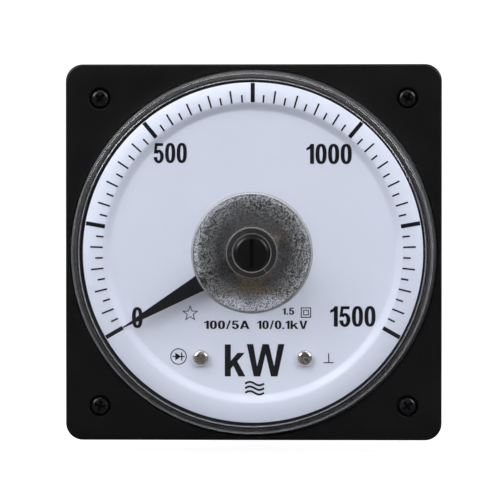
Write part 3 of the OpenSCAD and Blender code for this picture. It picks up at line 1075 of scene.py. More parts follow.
@dataclass(frozen=True)
class Board(Finish):
    """Circuit board: solder mask over woven glass, with copper runs under it."""

    mask: Colour = (0.01, 0.12, 0.04)
    runs: Colour = (0.03, 0.24, 0.07)

    def build(self, shader: Shader) -> bpy.types.Material:
        """Wire the board.

        Args:
            shader: the empty material.

        Returns:
            The finished material.
        """
        x, _, z = shader.parts(shader.place())
        weave = (x * (math.pi / 0.4)).do("SINE") * (z * (math.pi / 0.4)).do("SINE")
        across = (x + shader.noise(9.0, 0) * 12) % 2.5 < 0.7
        along = (z + shader.noise(12.0, 0) * 9) % 5.0 < 0.6
        runs = across.most(along)
        return shader.finish(shader.principled({
            "Base Color": shader.blend(runs, self.mask, self.runs),
            "Roughness": 0.32 - runs * 0.08,
            "Normal": shader.bump(runs * 0.8 + weave * 0.2, 0.04)}))


BLACK = Moulded("black_moulding", (0.0065, 0.0065, 0.007), 0.36, 0.3, 0.006, shine=0.3)
CLEAR = ClearPlastic("clear_cover")
DIAL = Paint("dial_white", (0.685, 0.715, 0.81), (0.66, 0.69, 0.79), 0.55)
INK = Paint("dial_ink", (0.003, 0.003, 0.005), (0.005, 0.005, 0.008), 0.5, 0.12)
DIAL_SCREW = Metal("dial_screw", (0.78, 0.74, 0.68), (0.55, 0.48, 0.38), 0.2, Lay.TURNED)
BLACK_SCREW = Metal(
    "black_screw", (0.035, 0.035, 0.038), (0.015, 0.015, 0.016), 0.26, Lay.TURNED, 0.003, 0.75)
POINTER = Paint("pointer_black", (0.004, 0.004, 0.005), (0.007, 0.007, 0.007), 0.45, 0.2)
ADJUSTER = Moulded("adjuster_black", (0.005, 0.005, 0.006), 0.3, 0.5, 0.004, 0.2)
ZINC = Metal("zinc_steel", (0.62, 0.63, 0.64), (0.45, 0.46, 0.44), 0.3, Lay.ROLLED)
BRASS = Metal("brass", (0.3, 0.21, 0.13), (0.15, 0.1, 0.07), 0.36, Lay.TURNED)
FINISHES: list[Finish] = [
    BLACK, CLEAR, DIAL, INK, DIAL_SCREW, BLACK_SCREW, POINTER, ADJUSTER, ZINC, BRASS,
    Metal("spring_steel", (0.5, 0.51, 0.52), (0.3, 0.3, 0.31), 0.25, Lay.TURNED),
    Metal("bronze_spring", (0.68, 0.4, 0.2), (0.4, 0.22, 0.12), 0.25, Lay.ROLLED),
    Wound("copper_wire", turn=(0, 30, 0)),
    Metal("cast_alloy", (0.45, 0.46, 0.47), (0.3, 0.3, 0.3), 0.5, Lay.CAST, 0.03),
    Metal("former_foil", (0.7, 0.71, 0.72), (0.5, 0.5, 0.52), 0.3, Lay.ROLLED),
    Metal("soft_iron", (0.28, 0.28, 0.29), (0.14, 0.12, 0.11), 0.42, Lay.TURNED, 0.012),
    Metal("magnet", (0.16, 0.16, 0.17), (0.1, 0.09, 0.09), 0.5, Lay.CAST, 0.02),
    Moulded("ruby", (0.42, 0.015, 0.06), 0.1, 0.4, 0.002, 0.2, 0.6),
    Moulded("moulded_hub", (0.025, 0.025, 0.028), 0.4),
    Moulded("rubber", (0.018, 0.018, 0.018), 0.8, 0.2, 0.02),
    Board("board_green"),
    Moulded("potting_blue", (0.02, 0.05, 0.17), 0.35, 1.2, 0.02, 0.2, 0.3),
    Wound("bobbin_tape", (0.62, 0.45, 0.14), (0.4, 0.26, 0.08), 3.0, "Y", metallic=0.0),
    Moulded("chip_black", (0.014, 0.014, 0.016), 0.55, 0.15, 0.015),
    Moulded("resistor_body", (0.5, 0.33, 0.16), 0.35, 0.6, 0.01, 0.15, 0.3),
    Moulded("wire_red", (0.35, 0.02, 0.015), 0.35, 0.5, 0.01, 0.2),
]


# ------------------------------------------------------------------ printed marks


@dataclass(frozen=True)
class Lettering:
    """Bold condensed figures and letters, drawn at a height of 1 and scaled to their place."""

    stem: float = 0.188
    bar: float = 0.145
    figure_half: float = 0.262
    space: float = 0.065
    ink: float = 0.03

    def oval(self, half_w: float, half_h: float, power: float) -> Outline:
        """A tall oval with straightened sides.

        Args:
            half_w: half its width.
            half_h: half its height.
            power: how square it is; 2 is an ellipse.

        Returns:
            The outline round (0, 0).
        """
        def reach(value: float) -> float:
            """A sine or cosine bent towards the square."""
            return math.copysign(abs(value) ** (2 / power), value)

        turns = [math.tau * i / 48 for i in range(48)]
        return [(half_w * reach(math.cos(a)), half_h * reach(math.sin(a))) for a in turns]

    def nought(self) -> list[list[Outline]]:
        """The figure 0.

        Returns:
            Its one part, an outline with a hole.
        """
        half = self.figure_half
        outer = [(x + half, y + 0.5) for x, y in self.oval(half, 0.51, 2.5)]
        inner = [(x + half, y + 0.5) for x, y in self.oval(half - self.stem, 0.51 - self.bar, 2.3)]
        return [[outer, inner]]

    def one(self) -> list[list[Outline]]:
        """The figure 1, with its flag.

        Returns:
            Its one part, an outline.
        """
        right = 0.4
        left = right - self.stem
        return [[[(left, 0), (right, 0), (right, 1), (left + 0.035, 1), (left - 0.05, 0.87),
                  (0.04, 0.8), (0.04, 0.665), (left, 0.745)]]]

    def five(self) -> list[list[Outline]]:
        """The figure 5.

        Returns:
            Its two parts: the flag with the back, and the bowl.
        """
        half, top = self.figure_half, 0.335
        flag = [(0.075, 1), (2 * half - 0.04, 1), (2 * half - 0.04, 1 - self.bar), (0.2, 1 - self.bar),
                (0.165, 0.62), (0.15, 0.5), (0.012, 0.46)]
        turns = [math.radians(142 - 318 * i / 36) for i in range(37)]

        def bowl(across: float, up: float) -> Outline:
            """One edge of the bowl, from half its width and half its height."""
            return [(half + across * math.cos(a), top - 0.01 + up * math.sin(a)) for a in turns]

        edges = bowl(half, top + 0.01) + bowl(half - self.stem, top + 0.01 - self.bar)[::-1]
        return [[flag], [edges]]

    def small_k(self) -> list[list[Outline]]:
        """The letter k."""
        stem = self.stem
        return [[[(0, 0), (0, 1), (stem, 1), (stem, 0.49), (0.4, 0.737), (0.62, 0.737), (0.39, 0.475),
                  (0.645, 0), (0.43, 0), (0.268, 0.335), (stem, 0.245), (stem, 0)]]]

    def large_w(self) -> list[list[Outline]]:
        """The letter W."""
        left = [(0.58, 0.7), (0.415, 0), (0.215, 0), (0, 1), (0.198, 1), (0.318, 0.31), (0.482, 1)]
        return [[left + [(1.16 - x, y) for x, y in left[:0:-1]]]]

    def large_v(self) -> list[list[Outline]]:
        """The letter V."""
        return [[[(0, 1), (0.19, 1), (0.325, 0.27), (0.46, 1), (0.65, 1), (0.43, 0), (0.22, 0)]]]

    def large_a(self) -> list[list[Outline]]:
        """The letter A."""
        return [[[(0, 0), (0.19, 0), (0.24, 0.2), (0.46, 0.2), (0.51, 0), (0.7, 0), (0.455, 1), (0.245, 1)],
                 [(0.28, 0.35), (0.42, 0.35), (0.35, 0.7)]]]

    def slash(self) -> list[list[Outline]]:
        """The stroke between two figures."""
        return [[[(0, -0.03), (0.13, -0.03), (0.36, 1.02), (0.23, 1.02)]]]

    def point(self) -> list[list[Outline]]:
        """The decimal point."""
        return [[[(0, 0), (0.18, 0), (0.18, 0.18), (0, 0.18)]]]

    def glyph(self, sign: str) -> list[list[Outline]]:
        """The outlines of one sign.

        Args:
            sign: the figure, letter or mark.

        Returns:
            Its parts, each an outline and any holes.
        """
        signs = {"0": self.nought, "1": self.one, "5": self.five, "k": self.small_k, "W": self.large_w,
                 "V": self.large_v, "A": self.large_a, "/": self.slash, ".": self.point}
        return signs[sign]()

    def line(self, text: str, x: float, y: float, height: float, level: float,
             width: Optional[float] = None) -> bpy.types.Mesh:
        """Set a line of signs, centred on a point.

        Args:
            text: the signs; a space is a gap.
            x: the middle across.
            y: the middle up.
            height: the signs' height.
            level: the height of the surface that carries them.
            width: the line's whole width, if it is fixed.

        Returns:
            The printed line as thin plates of ink.
        """
        at, shapes = 0.0, []
        for sign in text:
            if sign == " ":
                at += 0.3
                continue
            parts = self.glyph(sign)
            across = [p[0] for part in parts for outline in part for p in outline]
            for part in parts:
                shapes.append([[(px - min(across) + at, py) for px, py in outline] for outline in part])
            at += max(across) - min(across) + self.space
        total = at - self.space
        stretch = width / height / total if width else 1.0
        plates = []
        for part in shapes:
            sized = [[(x + (px * stretch - total * stretch / 2) * height, y + (py - 0.5) * height)
                      for px, py in outline] for outline in part]
            plates.append(slab(sized, level - 0.01, level + self.ink))
        return joined(plates)


def ribbon(path: Sequence[tuple[float, float]], width: float) -> Outline:
    """The outline of a line of even width along a path.

    Args:
        path: the points of its middle.
        width: its width.

    Returns:
        The closed outline.
    """
    sides: tuple[Outline, Outline] = ([], [])
    for i, (x, y) in enumerate(path):
        before, after = path[max(i - 1, 0)], path[min(i + 1, len(path) - 1)]
        run = Vector((after[0] - before[0], after[1] - before[1])).normalized() * (width / 2)
        sides[0].append((x - run.y, y + run.x))
        sides[1].append((x + run.y, y - run.x))
    return sides[0] + sides[1][::-1]


# ------------------------------------------------------------------ fasteners


@dataclass(frozen=True)
class Screw:
    """A pan-head screw with a cross recess, its head's seat at height 0."""

    head_r: float
    head_h: float
    shank_r: float
    length: float
    dome: float = 0.55

    def head(self) -> Outline:
        """The head's profile.

        Returns:
            Its points, from the seat to the middle of the top.
        """
        flat = self.head_h * (1 - self.dome)
        steps = 7
        crown = []
        for i in range(steps + 1):
            a = math.pi / 2 * i / steps
            crown.append((self.head_r * math.cos(a) ** 0.62 if i < steps else 0.0,
                          flat + self.head_h * self.dome * math.sin(a)))
        return [(self.head_r * 0.985, 0.0), *crown]

    def mesh(self) -> bpy.types.Mesh:
        """Shape the screw.

        Returns:
            One closed mesh, with its recess cut.
        """
        shank = [(0.0, -self.length), (self.shank_r * 0.8, -self.length),
                 (self.shank_r, -self.length + 0.3), (self.shank_r, 0.0)]
        blank = turned(shank + self.head(), 48)
        arm, web = self.head_r * 0.62, self.head_r * 0.15
        cross = [(web, web), (web, arm), (-web, arm), (-web, web), (-arm, web), (-arm, -web),
                 (-web, -web), (-web, -arm), (web, -arm), (web, -web), (arm, -web), (arm, web)]
        levels = [(0.12, self.head_h * 0.22), (0.55, self.head_h * 0.3), (1.0, self.head_h * 1.02),
                  (1.05, self.head_h + 0.3)]
        loops = [[(x * grow, y * grow, z) for x, y in cross] for grow, z in levels]
        ends = [[(0.0, 0.0, levels[0][1])] * 12, [(0.0, 0.0, levels[-1][1])] * 12]
        return carved(blank, [loft([ends[0], *loops, ends[1]])])

    def at(self, name: str, places: Sequence[Point], finish: Finish, seed: int,
           facing: float = 0.0) -> bpy.types.Mesh:
        """Put the screw at several places, each turned by chance.

        Args:
            name: the tree's name.
            places: where the heads' seats are.
            finish: what the screws wear.
            seed: the fixed seed of their turns.
            facing: the angle about X, in degrees, by which all of them are tipped.

        Returns:
            All of them as one mesh.
        """
        pattern = bpy.data.objects.new(name + "_pattern", self.mesh())
        carrier = bpy.data.meshes.new(name + "_places")
        carrier.from_pydata([tuple(p) for p in places], [], [])
        stand = bpy.data.objects.new(name + "_places", carrier)
        tree = Tree(name)
        model = tree.given("Pattern", pattern, "Object")
        spots = tree.given("Places", stand, "Object")
        turn = tree.given("Largest turn", math.tau)
        tip = tree.given("Tip", math.radians(facing))
        for thing in (pattern, stand):
            bpy.context.scene.collection.objects.link(thing)
        shape = tree.node("GeometryNodeObjectInfo", None, {"Object": model}).outputs["Geometry"]
        points = tree.node("GeometryNodeObjectInfo", None, {"Object": spots}).outputs["Geometry"]
        turns = tree.vector(tip, 0.0, tree.random(turn, seed))
        mesh = tree.grow(tree.repeat(points, shape, turns), finish.material())
        for thing in (pattern, stand):
            bpy.data.objects.remove(thing)
        return mesh


# ------------------------------------------------------------------ front


@dataclass
class FrontHousing:
    """The square front frame, the clear bowl cover and the four corner screws."""

    screw_pitch: float = 90.0
    wall: float = 1.8
    edge: float = 1.3
    boss_r: float = 17.2
    boss_edge: float = 0.9
    boss_rise: float = 1.2
    collar_r: float = 7.35
    seat_r: float = 5.4
    stem_hole: float = 4.25
    seat_drop: float = 0.1
    opening: float = 53.3
    front_r: float = 51.9
    flat: float = 28.0
    plate_t: float = 1.6
    plate_corner: float = 5.0
    soft: float = 0.55
    seat_depth: float = 2.0
    screw_hole: float = 1.7
    bore_r: float = 3.15

    def frame(self) -> None:
        """Shape the square front frame, with soft edges and the screws' counterbores."""
        box, plate = extent("front_frame"), extent("clear_cover")
        half, back, front = box.high.x, box.low.z, box.high.z
        recess, hole = plate.high.x + 0.15, self.opening + 0.3
        step = back + self.plate_t + 0.2

        def square(reach: float, z: float) -> tuple[Callable[[float], float], float]:
            """One ring along the frame's outside or its recess."""
            return rounded_square(reach, self.plate_corner), z

        rings = [(circle(hole), step), (circle(hole), front - self.soft)]
        rings += [(circle(hole + self.soft * (1 - math.cos(a))), front - self.soft * (1 - math.sin(a)))
                  for a in (math.pi / 6, math.pi / 3, math.pi / 2)]
        rings += [square(half - self.soft * (1 - math.cos(a)), front - self.soft * (1 - math.sin(a)))
                  for a in (math.pi / 2, math.pi / 3, math.pi / 6, 0.0)]
        rings += [square(half, back), square(recess, back), square(recess, step)]
        mesh = polar_loft(rings, polar_angles(self.corner_angle(half)))
        seat = front - self.seat_depth
        hole_r, bore_r, mouth = self.screw_hole, self.bore_r, self.bore_r + 0.15
        bore = [(0, back - 1), (hole_r, back - 1), (hole_r, seat), (bore_r, seat), (bore_r, front - 0.15),
                (mouth, front + 0.001), (mouth, front + 1), (0, front + 1)]
        bores = [moved(turned(bore, 48), (x, y, 0)) for x, y in self.screw_places()]
        piece("square_front_frame", carved(mesh, bores), BLACK, "housing", ["front_frame"], 40)

    def corner_angle(self, half: float) -> float:
        """Half the angle that a round corner of the square spans, seen from the axis."""
        return math.pi / 4 - math.atan2(half - self.plate_corner, half)

    def cover_rings(self) -> list[tuple[Callable[[float], float], float]]:
        """The clear cover's surface as rings.

        Returns:
            The rings, from the adjuster's seat outwards and back round to the inside.
        """
        box = extent("clear_cover")
        back, top = box.low.z, box.high.z
        inside, face, boss = self.flat - self.wall, self.flat, self.flat + self.boss_rise
        outside = [(self.stem_hole, inside), (self.stem_hole, face + self.seat_drop),
                   (self.seat_r, face + self.seat_drop), (self.seat_r, top - 0.12),
                   (self.seat_r + 0.12, top)]
        outside += corner_arc(self.collar_r - 0.2, top - 0.2, 0.2, 90, 0, 3)
        outside += [(self.collar_r, boss + 0.1), (self.collar_r + 0.1, boss)]
        outside += corner_arc(self.boss_r - self.boss_edge, boss - self.boss_edge, self.boss_edge, 90, 0, 7)
        outside += corner_arc(self.boss_r + 0.3, face + 0.3, 0.3, 180, 270, 4)
        outside += [(self.boss_r + 1.5, face), ((self.boss_r + self.front_r) / 2, face)]
        outside += corner_arc(self.front_r - self.edge, face - self.edge, self.edge, 90, 0, 8)
        outside += [(self.opening, back + 5.0), (self.opening, back + self.plate_t)]
        inner = [(self.opening - self.wall, back), (self.opening - self.wall, back + 5.0)]
        inner += corner_arc(self.front_r - self.wall - 0.7, inside - 0.6, 0.6, 0, 90, 5)
        inner += [((self.boss_r + self.front_r) / 2, inside)]
        half = box.high.x
        plate = [(rounded_square(half, self.plate_corner), back + self.plate_t),
                 (rounded_square(half, self.plate_corner), back)]
        return [(circle(r), z) for r, z in outside] + plate + [(circle(r), z) for r, z in inner]

    def cover(self) -> None:
        """Shape the clear cover and set it in place."""
        half = extent("clear_cover").high.x
        mesh = polar_loft(self.cover_rings(), polar_angles(self.corner_angle(half)))
        holes = drills(self.screw_hole, 0, 8, self.screw_places())
        piece("clear_bowl_cover", carved(mesh, holes), CLEAR, "housing", ["clear_cover"], 40)

    def screw_places(self) -> list[tuple[float, float]]:
        """Where the corner screws stand."""
        half = self.screw_pitch / 2
        return [(x, y) for x in (-half, half) for y in (-half, half)]

    def screws(self) -> None:
        """Set the four corner screws in their counterbores."""
        box = extent("frame_screws")
        seat = extent("front_frame").high.z - self.seat_depth
        screw = Screw(2.7, box.high.z - seat, 1.48, seat - box.low.z)
        places = [(x, y, seat) for x, y in self.screw_places()]
        mesh = screw.at("frame_screws_repeat", places, BLACK_SCREW, 4)
        piece("corner_screws", mesh, BLACK_SCREW, "housing", ["frame_screws"])

    def build(self) -> None:
        """Build the front housing."""
        self.frame()
        self.cover()
        self.screws()


@dataclass
class ZeroAdjuster:
    """The black slotted disc in the middle of the cover, with its stem and pin."""

    slot_w: float = 1.2
    slot_l: float = 8.0
    slot_deep: float = 0.9
    bevel_w: float = 1.05
    bevel_h: float = 0.62
    pin_at: float = 3.4
    pin_r: float = 0.5
    groove_r: float = 3.75
    stem_r: float = 4.2
    stem_end: float = 25.0
    seat_below: float = 1.65

    def build(self) -> None:
        """Shape the adjuster and set it on its own body."""
        box, clip = extent("zero_adjuster"), extent("adjuster_clip")
        head_r, top = box.high.x, box.high.z
        seat = extent("clear_cover").high.z - self.seat_below
        stem_r, stem_end, rim = self.stem_r, self.stem_end, head_r - self.bevel_w
        profile = [(0.0, stem_end), (stem_r, stem_end), (stem_r, clip.low.z), (self.groove_r, clip.low.z),
                   (self.groove_r, clip.high.z), (stem_r, clip.high.z), (stem_r, seat), (head_r, seat)]
        profile += [(head_r, top - self.bevel_h - 0.08), (head_r - 0.04, top - self.bevel_h)]
        profile += [(rim, top - 0.04), (rim - 0.15, top), (0.0, top)]
        half = self.slot_l / 2
        slot = [*corner_arc(0, half - self.slot_w / 2, self.slot_w / 2, 0, 180, 8),
                *corner_arc(0, self.slot_w / 2 - half, self.slot_w / 2, 180, 360, 8)]
        disc = carved(turned(profile, 128), [slab([slot], top - self.slot_deep, top + 1)])
        tip = [(0, box.low.z), (self.pin_r * 0.7, box.low.z), (self.pin_r, box.low.z + 0.2),
               (self.pin_r, stem_end + 0.1), (0, stem_end + 0.1)]
        pin = moved(turned(tip, 24), (0, self.pin_at, 0))
        piece("slotted_zero_adjuster", joined([disc, pin]), ADJUSTER, "adjuster", ["zero_adjuster"])


# ------------------------------------------------------------------ dial


@dataclass
class Dial:
    """The white dial plate with its raised scale ring, printed scale, figures and screws."""

    window_r: float = 16.0
    window_low: float = -12.7
    bevel_in: float = 41.0
    ring_in: float = 44.0
    thickness: float = 0.8
    first_angle: float = 210.0
    sweep: float = 240.0
    divisions: int = 60
    tick_in: float = 43.6
    bold_out: float = 49.25
    long_out: float = 47.3
    short_out: float = 45.8
    bold_w: float = 1.2
    thin_w: float = 0.5
    ink: float = 0.03
    screw_hole: float = 1.7
    screw_head_r: float = 2.4

    @property
    def ring_level(self) -> float:
        """Height of the scale ring's front."""
        return extent("dial_plate").high.z

    @property
    def rise(self) -> float:
        """Height of the scale ring over the dial's middle."""
        return extent("dial_plate").size.z - self.thickness

    @property
    def level(self) -> float:
        """Height of the dial's flat middle."""
        return self.ring_level - self.rise

    def window(self, angle: float) -> float:
        """The window's edge, which is round above and straight below, at an angle."""
        down = -math.sin(angle)
        return min(self.window_r, -self.window_low / down) if down > 0 else self.window_r

    def lift(self, radius: float) -> float:
        """How far the dial's front stands over its middle at a distance from the axis."""
        t = min(1.0, max(0.0, (radius - self.bevel_in) / (self.ring_in - self.bevel_in)))
        return self.rise * t * t * (3 - 2 * t)

    def plate(self) -> None:
        """Shape the dial plate with its soft step up to the scale ring."""
        outer = extent("dial_plate").high.x
        step = [self.bevel_in + (self.ring_in - self.bevel_in) * t / 10 for t in range(11)]
        front = [(r, self.level + self.lift(r)) for r in step]
        front += [(outer - 0.1, self.ring_level), (outer, self.ring_level - 0.1)]
        back = [(r, z - self.thickness) for r, z in front[-3::-1]]
        rings = [(self.window, self.level - self.thickness), (self.window, self.level)]
        rings += [(circle(r), z) for r, z in front]
        rings += [(circle(outer), self.ring_level - self.thickness)]
        rings += [(circle(r), z) for r, z in back]
        mesh = polar_loft(rings, polar_angles())
        holes = drills(self.screw_hole, 10, 20, self.screw_places())
        piece("printed_dial_plate", carved(mesh, holes), DIAL, "housing", ["dial_plate"], 50)

    def screw_places(self) -> list[tuple[float, float]]:
        """Where the dial screws stand."""
        box = extent("dial_screws")
        r = box.size.y / 2
        return [(x, (box.low.y + box.high.y) / 2) for x in (box.low.x + r, box.high.x - r)]

    def ticks(self) -> None:
        """Print the scale's marks, which follow the ring and its step."""
        tree = Tree("scale_marks")
        count = tree.given("Marks", self.divisions + 1, "Int")
        first = tree.given("First angle", math.radians(self.first_angle))
        step = tree.given("Step", math.radians(self.sweep / self.divisions))
        inner = tree.given("Inner radius", self.tick_in)
        bold, long, short = (tree.given(name, value) for name, value in (
            ("Bold outer radius", self.bold_out), ("Long outer radius", self.long_out),
            ("Short outer radius", self.short_out)))
        wide, thin = tree.given("Bold width", self.bold_w), tree.given("Thin width", self.thin_w)
        ink, level = tree.given("Ink", self.ink), tree.given("Dial level", self.level)
        rise, bevel = tree.given("Ring rise", self.rise), tree.given("Step radius", self.bevel_in)
        ring = tree.given("Ring radius", self.ring_in)
        i = tree.index()
        is_bold = (i % 10) < 0.5
        is_long = (i % 2) < 0.5
        outer = is_bold * bold + (1 - is_bold) * (is_long * long + (1 - is_long) * short)
        angle = first - step * i
        middle = (inner + outer) / 2
        where = tree.vector(middle * angle.do("COSINE"), middle * angle.do("SINE"), 0.0)
        points = tree.node("GeometryNodePoints", None, {"Count": count, "Position": where})
        bar = tree.node("GeometryNodeMeshCube", None, {
            "Size": (1, 1, 1), "Vertices X": 13, "Vertices Y": 2, "Vertices Z": 2})
        size = tree.vector(outer - inner, is_bold * wide + (1 - is_bold) * thin, ink)
        bars = tree.solid(tree.repeat(points, bar.outputs["Mesh"], tree.vector(0.0, 0.0, angle), size))
        x, y, _ = tree.parts(tree.node("GeometryNodeInputPosition"))
        t = (((x * x + y * y).do("SQRT") - bevel) / (ring - bevel)).most(0.0).least(1.0)
        lift = tree.vector(0.0, 0.0, level + rise * t * t * (3 - 2 * t) + ink * 0.4)
        laid = tree.node("GeometryNodeSetPosition", None, {"Geometry": bars, "Offset": lift})
        piece("scale_marks", tree.grow(laid, INK.material()), INK, "housing")

    def figures(self) -> None:
        """Print the scale's numbers, the unit and the ratio of the outside transformers."""
        set_line = Lettering(ink=self.ink).line
        level = self.level
        numbers = [("0", -33.6, -18.9, 6.0, 3.1), ("500", -24.0, 28.9, 5.8, 9.7),
                   ("1000", 22.1, 28.6, 5.8, 13.2), ("1500", 29.0, -18.5, 5.9, 13.2)]
        for text, x, y, height, width in numbers:
            mesh = draped(set_line(text, x, y, height, level, width), self.lift)
            piece("figure_" + text, mesh, INK, "housing")
        unit = joined([set_line("k", -5.15, -31.3, 9.3, level, 6.0),
                       set_line("W", 3.7, -31.25, 9.4, level, 10.95)])
        piece("unit_letters", unit, INK, "housing")
        ratios = joined([set_line("100/5A", -7.6, -20.95, 2.4, level, 13.2),
                         set_line("10/0.1kV", 8.5, -20.95, 2.4, level, 14.6)])
        piece("transformer_ratios", ratios, INK, "housing")
        piece("accuracy_class", set_line("1.5", 10.25, -17.0, 2.0, level, 3.5), INK, "housing")

    def symbols(self) -> None:
        """Print the usual meter symbols: current kind, rectifier, mounting, test voltage and insulation."""
        low, high = self.level - 0.01, self.level + self.ink

        def band(outline: Outline, inner: Outline) -> bpy.types.Mesh:
            """An outline with its middle left out."""
            return slab([outline, inner], low, high)

        waves = []
        for row in (-1.35, 0.0, 1.35):
            steps = [i / 32 for i in range(33)]
            path = [(0.5 + 5.5 * (t - 0.5), -39.4 + row + 0.5 * math.sin(math.tau * t)) for t in steps]
            waves.append(slab([ribbon(path, 0.6)], low, high))
        piece("wave_symbol", draped(joined(waves), self.lift), INK, "housing")

        x, y = -21.6, -30.2
        ring = band(corner_arc(x, y, 2.4, 0, 354, 59), corner_arc(x, y, 2.12, 0, 354, 59))
        arrow = slab([[(x - 0.95, y + 1.15), (x - 0.95, y - 1.15), (x + 0.8, y)]], low, high)
        bar = slab([ribbon([(x + 0.925, y - 1.2), (x + 0.925, y + 1.2)], 0.35)], low, high)
        wire = slab([ribbon([(x - 1.8, y), (x + 1.8, y)], 0.34)], low, high)
        piece("rectifier_symbol", joined([ring, arrow, bar, wire]), INK, "housing")

        x, y = 22.0, -30.6
        upright = joined([slab([ribbon([(x, y - 1.3), (x, y + 1.4)], 0.3)], low, high),
                          slab([ribbon([(x - 1.45, y - 1.35), (x + 1.45, y - 1.35)], 0.3)], low, high)])
        piece("upright_mounting_symbol", upright, INK, "housing")

        def star(size: float) -> Outline:
            """A five-pointed star round the symbol's place."""
            turns = [(math.radians(90 + 36 * i), size * (1 if i % 2 == 0 else 0.42)) for i in range(10)]
            return [(-18.2 + r * math.cos(a), -17.7 + r * math.sin(a)) for a, r in turns]

        piece("test_voltage_symbol", band(star(2.5), star(1.85)), INK, "housing")

        def square(half: float) -> Outline:
            """A square round the symbol's place."""
            return [(15.4 + i * half, -17.4 + j * half) for i, j in ((-1, -1), (1, -1), (1, 1), (-1, 1))]

        insulation = joined([band(square(1.5), square(1.22)), band(square(0.8), square(0.54))])
        piece("insulation_symbol", insulation, INK, "housing")

    def screws(self) -> None:
        """Set the two bright dial screws."""
        box = extent("dial_screws")
        screw = Screw(self.screw_head_r, box.high.z - self.level, 1.48, self.level - box.low.z, 0.75)
        places = [(x, y, self.level) for x, y in self.screw_places()]
        mesh = screw.at("dial_screws_repeat", places, DIAL_SCREW, 11)
        piece("bright_dial_screws", mesh, DIAL_SCREW, "housing", ["dial_screws"])

    def build(self) -> None:
        """Build the dial."""
        self.plate()
        self.ticks()
        self.figures()
        self.symbols()
        self.screws()


# ------------------------------------------------------------------ movement


